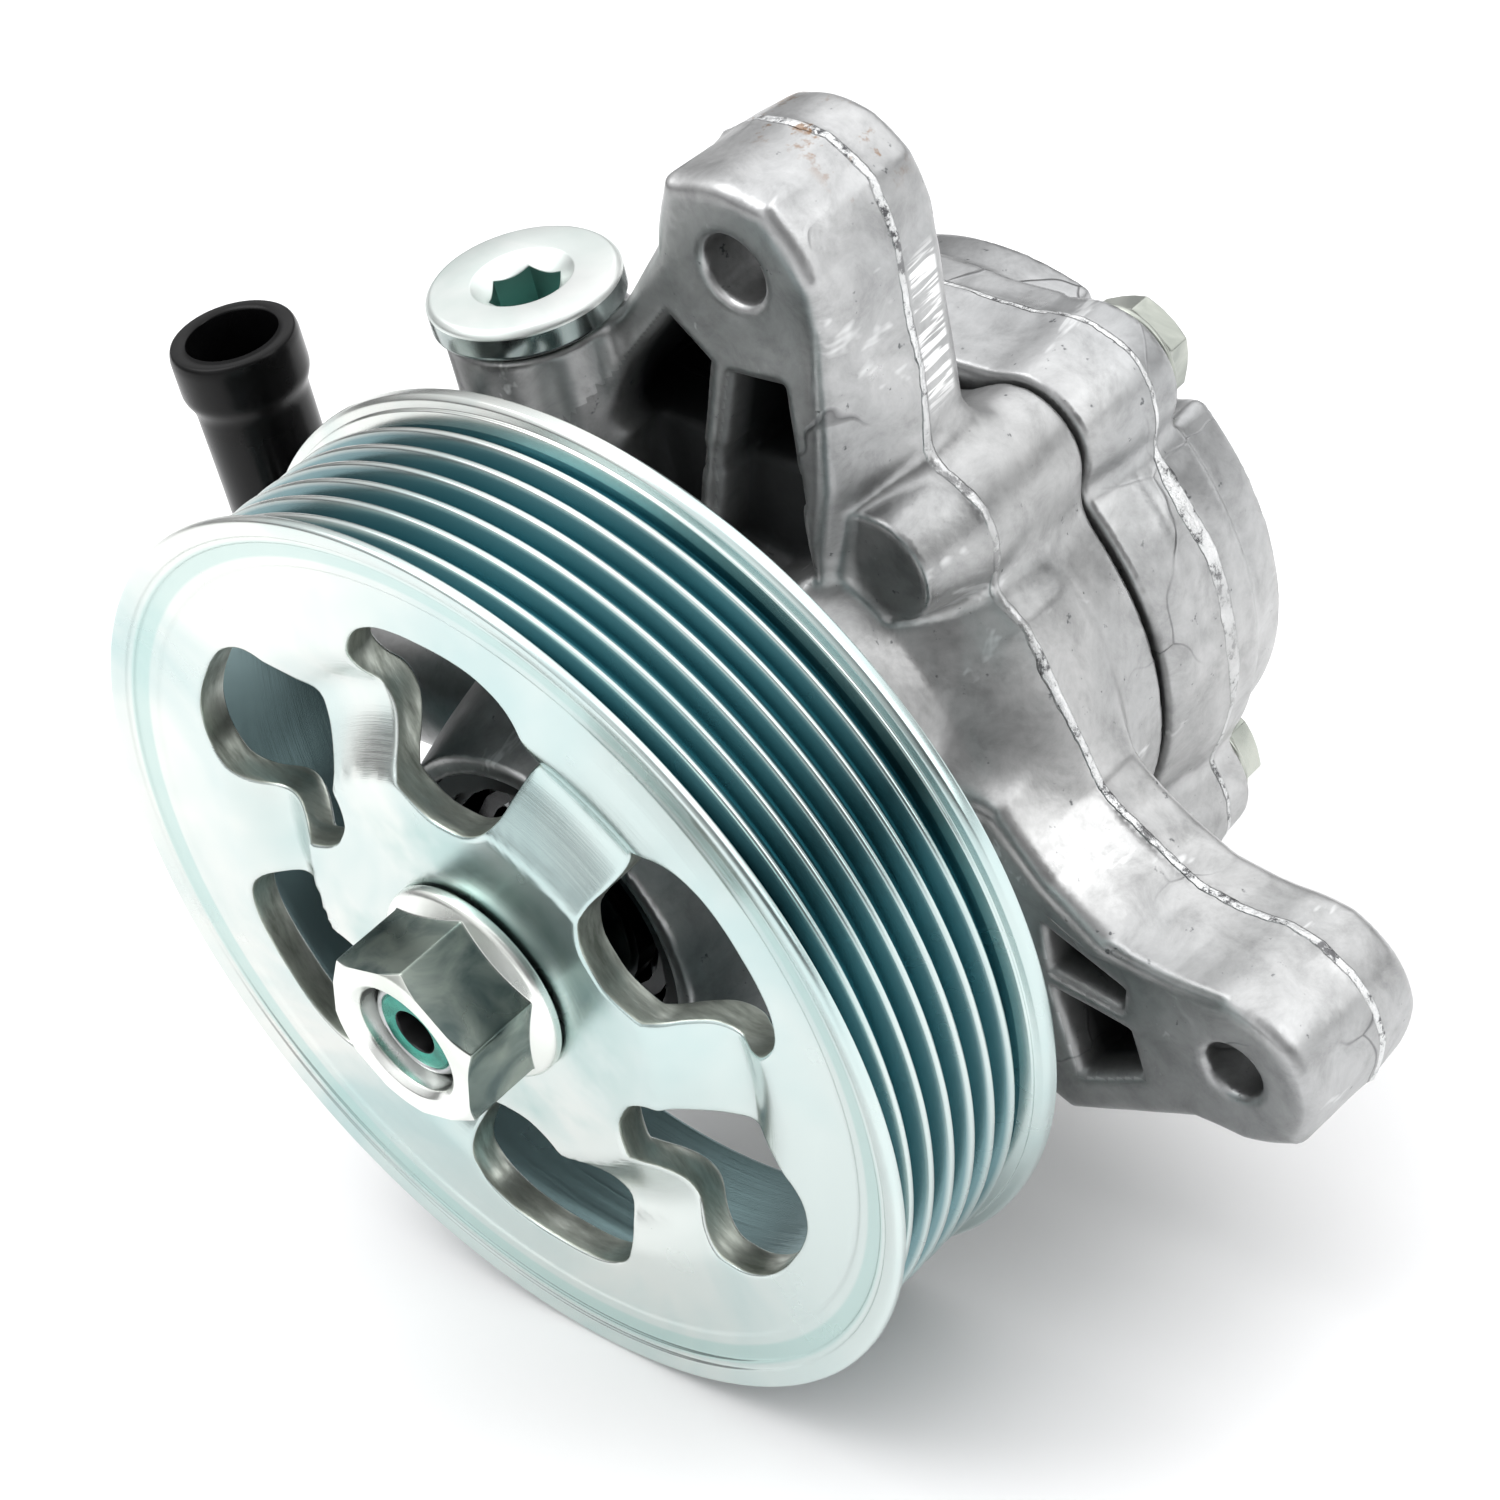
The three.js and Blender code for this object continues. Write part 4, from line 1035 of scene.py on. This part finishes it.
MAIN_BORE = [
    (-40, 0), (20, 0), (20, 11.3), (21, 11.3), (21, 13.2), (20, 13.2), (20, 25.3), (15, 25.3),
    (15, 34), (9.2, 34), (9.2, 57), (31.5, 57), (31.5, 76.9), (34, 76.9), (34, 90), (-40, 90),
]


def ridge(y, plane, x, z):
    """Flash left along a parting plane, higher in some places than in others."""
    uneven = 0.55 + 0.45 * np.sin(x * 0.35 + z * 0.5) * np.sin(x * 0.13 - z * 0.21)
    return 0.32 * uneven * np.exp(-(((y - plane) / 0.55) ** 2))


def drafted(x, z, y, front, parting):
    """Section distance that grows from the front outline to the parting one and shrinks behind."""
    t = np.clip((y - FACE_Y) / (PARTING_Y - FACE_Y), 0, 1)
    behind = np.maximum(y - PARTING_Y, 0) * 0.09
    return (1 - t) * polygon(x, z, front) + t * polygon(x, z, parting) + behind


def pockets(x, y, z):
    """The cored hollows: two in the upper bracket, with a rib between them, and two in the arm."""
    left = smin(smax(polygon(x, z, LEFT_POCKET), y - 66, 2),
                smax(polygon(x, z, LEFT_SLOPE), y - 53, 2), 1.5)
    right = smin(smax(polygon(x, z, RIGHT_POCKET), y - 66, 2),
                 smax(polygon(x, z, RIGHT_SLOPE), y - 53, 2), 1.5)
    arm = np.minimum(polygon(x, z, ARM_POCKET_TOP), polygon(x, z, ARM_POCKET_BOTTOM))
    return np.minimum(np.minimum(left, right), smax(arm, y - 66, 1.5)) + 0.3


def housing_sdf(x, y, z):
    r = np.hypot(x, z)
    lug_r = np.hypot(np.abs(x) - BOLT_X, np.abs(z) - BOLT_Z)
    boss_r = np.interp(y, [FACE_Y, PARTING_Y, ARM_REAR_Y], [10.6, 11.2, 10.8])
    ends = slab(y, FACE_Y, ARM_REAR_Y)
    upper = smin(drafted(x, z, y, UPPER_FRONT, UPPER_PARTING), rod(x, z, UPPER_BOSS, boss_r), 1.5)
    lower = smin(drafted(x, z, y, LOWER_FRONT, LOWER_PARTING), rod(x, z, LOWER_BOSS, boss_r), 1.5)
    arms = smax(np.minimum(upper, lower), ends, 2.2)
    tower = smax(rod(x, y, (VALVE_X, VALVE_Y), 10.6), slab(z, -4, 57), 1.0)
    inlet = smax(rod(y, z, (PIPE_Y, INLET_Z), 11.6), slab(x, INLET_END, -20), 1.2)
    d = smin(polygon(r, y, BARREL), arms, 4.5)
    d = smin(d, polygon(lug_r, y, LUG), np.interp(y, [52, 62, 70], [1.8, 3.0, 6.0]))
    d = d - ridge(y, PARTING_Y, x, z)
    d = smax(d, -pockets(x, y, z), 1.5)
    d = smin(smin(d, tower, 4), inlet, 5) + 0.025 * lump(x, y, z, 9, 5)
    d = smax(d, y - SEAM_Y, 1.0)
    for centre in (UPPER_BOSS, LOWER_BOSS):
        near_face = rod(x, z, centre, 12.5)
        d = np.maximum(d, np.where(near_face < 0, FACE_Y - y, d))
    d = smax(d, -polygon(r, y, MAIN_BORE), 0.9)
    valve = polygon(np.hypot(x - VALVE_X, y - VALVE_Y), z,
                    [(-9, 15), (7.5, 16), (7.5, 54.6), (9.5, 54.6), (9.5, 70), (-9, 70)])
    d = smax(d, -valve, 0.6)
    port = polygon(np.hypot(y - PIPE_Y, z - INLET_Z), x,
                   [(-9, -31), (5.5, -33), (5.5, -46), (7.8, -48), (7.8, -57.6),
                   (9.4, -57.6), (9.4, -70), (-9, -70)])
    d = smax(d, -port, 0.6)
    d = smax(d, -np.maximum(lug_r - 4.3, 58.5 - y), 0.6)
    d = smax(d, -rod(x, z, UPPER_BOSS, 4.4), 1.2)
    return smax(d, -rod(x, z, LOWER_BOSS, 3.9), 1.2)


COVER_SECTION = [(-30, 79.5), (0, 79.5), (1.25, 91), (0.9, 96.5), (-30, 96.5)]
DOME = [(-40, 88), (38.6, 88), (38.4, 96.5), (37.4, 103.5), (35.4, 105), (-40, 105)]
COVER_BELT = [
    (-BOLT_X, BOLT_Z), (0, 20), (BOLT_X, BOLT_Z), (BOLT_X, BOLT_Z + 7.6), (-BOLT_X, BOLT_Z + 7.6),
]
CASTING_TRIANGLES = 185000
COVER_CAVITY = [(-30, 70), (30, 70), (30, 92), (-30, 92)]


def cover_sdf(x, y, z):
    r = np.hypot(x, z)
    bolt_r = np.hypot(np.abs(x) - BOLT_X, np.abs(z) - BOLT_Z)
    section = smin(smin(r - 38.3, bolt_r - 8.2, 3), polygon(x, z, COVER_BELT), 1.5)
    d = smax(polygon(section, y, COVER_SECTION), slab(y, COVER_FRONT_Y, COVER_SEAT_Y), 1.0)
    d = smax(smin(d, polygon(r, y, DOME), 2), y - 104.95, 2)
    d = d - ridge(y, COVER_PARTING_Y, x, z) + 0.025 * lump(x, y, z, 9, 8)
    d = smax(d, COVER_FRONT_Y - y, 0.8)
    d = smax(d, -np.maximum(bolt_r - 9.3, COVER_SEAT_Y - y), 1.6)
    d = smax(d, -(bolt_r - 4.3), 0.8)
    return smax(d, -polygon(r, y, COVER_CAVITY), 0.8)


def add_casting(name, sdf, low, high, node, shaded_pockets=None):
    """A casting meshed from its distance, thinned where it is flat; faces in the cored pockets get
    the material with painted shade.
    """
    verts, faces = nets(sdf, low, high, 0.7)
    limits = [np.array(corner) * 1000 + (0, FACE_Y, 0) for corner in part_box(node)]
    verts = np.clip(verts, *limits)
    index = None
    if shaded_pockets:
        index = (shaded_pockets(*verts[faces].mean(1).T) < 0.7).astype(int)
    piece = add_mesh(name, verts, faces, [CAST, CAST_POCKET_SHADE], "pump_body", [node], index=index)
    bpy.context.view_layer.update()
    if 2 * len(faces) > CASTING_TRIANGLES:
        thin = piece.modifiers.new("thin", "DECIMATE")
        thin.ratio = CASTING_TRIANGLES / (2 * len(faces))
    return piece


build_pulley()
build_nut()
for number, (centre, corner) in enumerate(zip(BOLTS, (17, 42, 67, 92))):
    build_bolt(f"cover_bolt_{number + 1}", centre, corner)
build_shaft()
build_plug()
build_pipe()
build_valve_spring()
add_casting("front_housing_fine", housing_sdf, (-63, 8, -47), (81, 82, 85), "front_housing",
            pockets)
add_casting("rear_cover_fine", cover_sdf, (-43, 77, -43), (43, 108, 43), "rear_cover")


# ---- stage, light and camera ---------------------------------------------------------------------


def stage():
    """A pale floor under the lowest point, large enough to fill the view."""
    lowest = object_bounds()[0][2]
    mesh = bpy.data.meshes.new("floor")
    side = 6.0
    corners = [(-side, -side), (side, -side), (side, side), (-side, side)]
    mesh.from_pydata([(x, y, lowest - 0.0002) for x, y in corners], [], [(0, 1, 2, 3)])
    floor = bpy.data.objects.new("floor", mesh)
    bpy.context.scene.collection.objects.link(floor)
    m = Nodes("floor_white")
    shade = m.ramp(m.noise(3, 2, 0.5), (0.3, 0.95), (0.7, 0.96))
    mesh.materials.append(m.finish(shade, 0.0, 0.6))
    floor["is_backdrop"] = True


def area(name, location, target, size, power):
    data = bpy.data.lights.new(name, "AREA")
    data.shape = "RECTANGLE"
    data.size, data.size_y = size
    data.energy = power
    lamp = bpy.data.objects.new(name, data)
    lamp.location = location
    lamp.rotation_mode = "QUATERNION"
    lamp.rotation_quaternion = (Vector(target) - Vector(location)).to_track_quat("-Z", "Y")
    bpy.context.scene.collection.objects.link(lamp)


SKY = [(0.0, 0.12), (0.14, 0.18), (0.32, 0.60), (0.5, 0.90), (0.8, 1.1), (1.0, 1.2)]
SKY_STRENGTH = 1.12
# Darker and brighter parts of the room: direction, edge and full cosines, blend, level.
SKY_SPOTS = [
    ((0.66, -0.50, 0.56), 0.80, 0.96, "MULTIPLY", 0.45),
    ((0.15, -0.98, 0.05), 0.74, 0.92, "ADD", 0.3), ((0.15, 0.62, 0.75), 0.55, 0.92, "ADD", 0.6),
    ((0.97, 0.05, 0.15), 0.60, 0.95, "MULTIPLY", 0.45),
]


def lights():
    """A bright ceiling with a darker horizon, so that the metal shows contrast on a white floor."""
    world = bpy.data.worlds.new("studio")
    world.use_nodes = True
    tree = world.node_tree
    coords = tree.nodes.new("ShaderNodeTexCoord")
    split = tree.nodes.new("ShaderNodeSeparateXYZ")
    ramp = tree.nodes.new("ShaderNodeValToRGB")
    tree.links.new(coords.outputs["Generated"], split.inputs[0])
    tree.links.new(split.outputs[2], ramp.inputs[0])
    elements = ramp.color_ramp.elements
    while len(elements) < len(SKY):
        elements.new(0.5)
    for element, (position, level) in zip(elements, SKY):
        element.position = position
        element.color = (level, level, level * 1.01, 1)
    level = ramp.outputs[0]
    for direction, start, end, blend, amount in SKY_SPOTS:
        near = tree.nodes.new("ShaderNodeVectorMath")
        near.operation = "DOT_PRODUCT"
        near.inputs[1].default_value = Vector(direction).normalized()
        tree.links.new(coords.outputs["Generated"], near.inputs[0])
        spread = tree.nodes.new("ShaderNodeMapRange")
        spread.interpolation_type = "SMOOTHSTEP"
        spread.inputs["From Min"].default_value = start
        spread.inputs["From Max"].default_value = end
        tree.links.new(near.outputs["Value"], spread.inputs["Value"])
        mix = tree.nodes.new("ShaderNodeMix")
        mix.data_type, mix.blend_type = "RGBA", blend
        mix.inputs[7].default_value = (amount, amount, amount, 1)
        tree.links.new(spread.outputs[0], mix.inputs[0])
        tree.links.new(level, mix.inputs[6])
        level = mix.outputs[2]
    background = tree.nodes["Background"]
    tree.links.new(level, background.inputs["Color"])
    background.inputs["Strength"].default_value = SKY_STRENGTH
    bpy.context.scene.world = world
    area("key", (-0.40, -0.30, 0.95), (0, 0, 0), (0.7, 0.7), 4.0)
    area("side", (0.9, 0.35, 0.5), (0, 0, 0.02), (0.35, 0.9), 2.6)


def camera():
    """The camera stands to the right of the pulley, above it and a little tilted."""
    data = bpy.data.cameras.new("camera")
    data.sensor_width = 36.0
    data.lens = 98.547
    data.clip_start, data.clip_end = 0.01, 20
    eye = bpy.data.objects.new("camera", data)
    right = Vector((0.73171, 0.64872, -0.20920))
    up = Vector((-0.28010, 0.56597, 0.77538))
    back = right.cross(up)
    turn = Matrix((right, up, back)).transposed().to_4x4()
    eye.matrix_world = Matrix.Translation((0.307308, -0.252538, 0.293472)) @ turn
    bpy.context.scene.collection.objects.link(eye)
    bpy.context.scene.camera = eye


stage()
lights()
camera()
bpy.context.scene.view_settings.view_transform = "Standard"
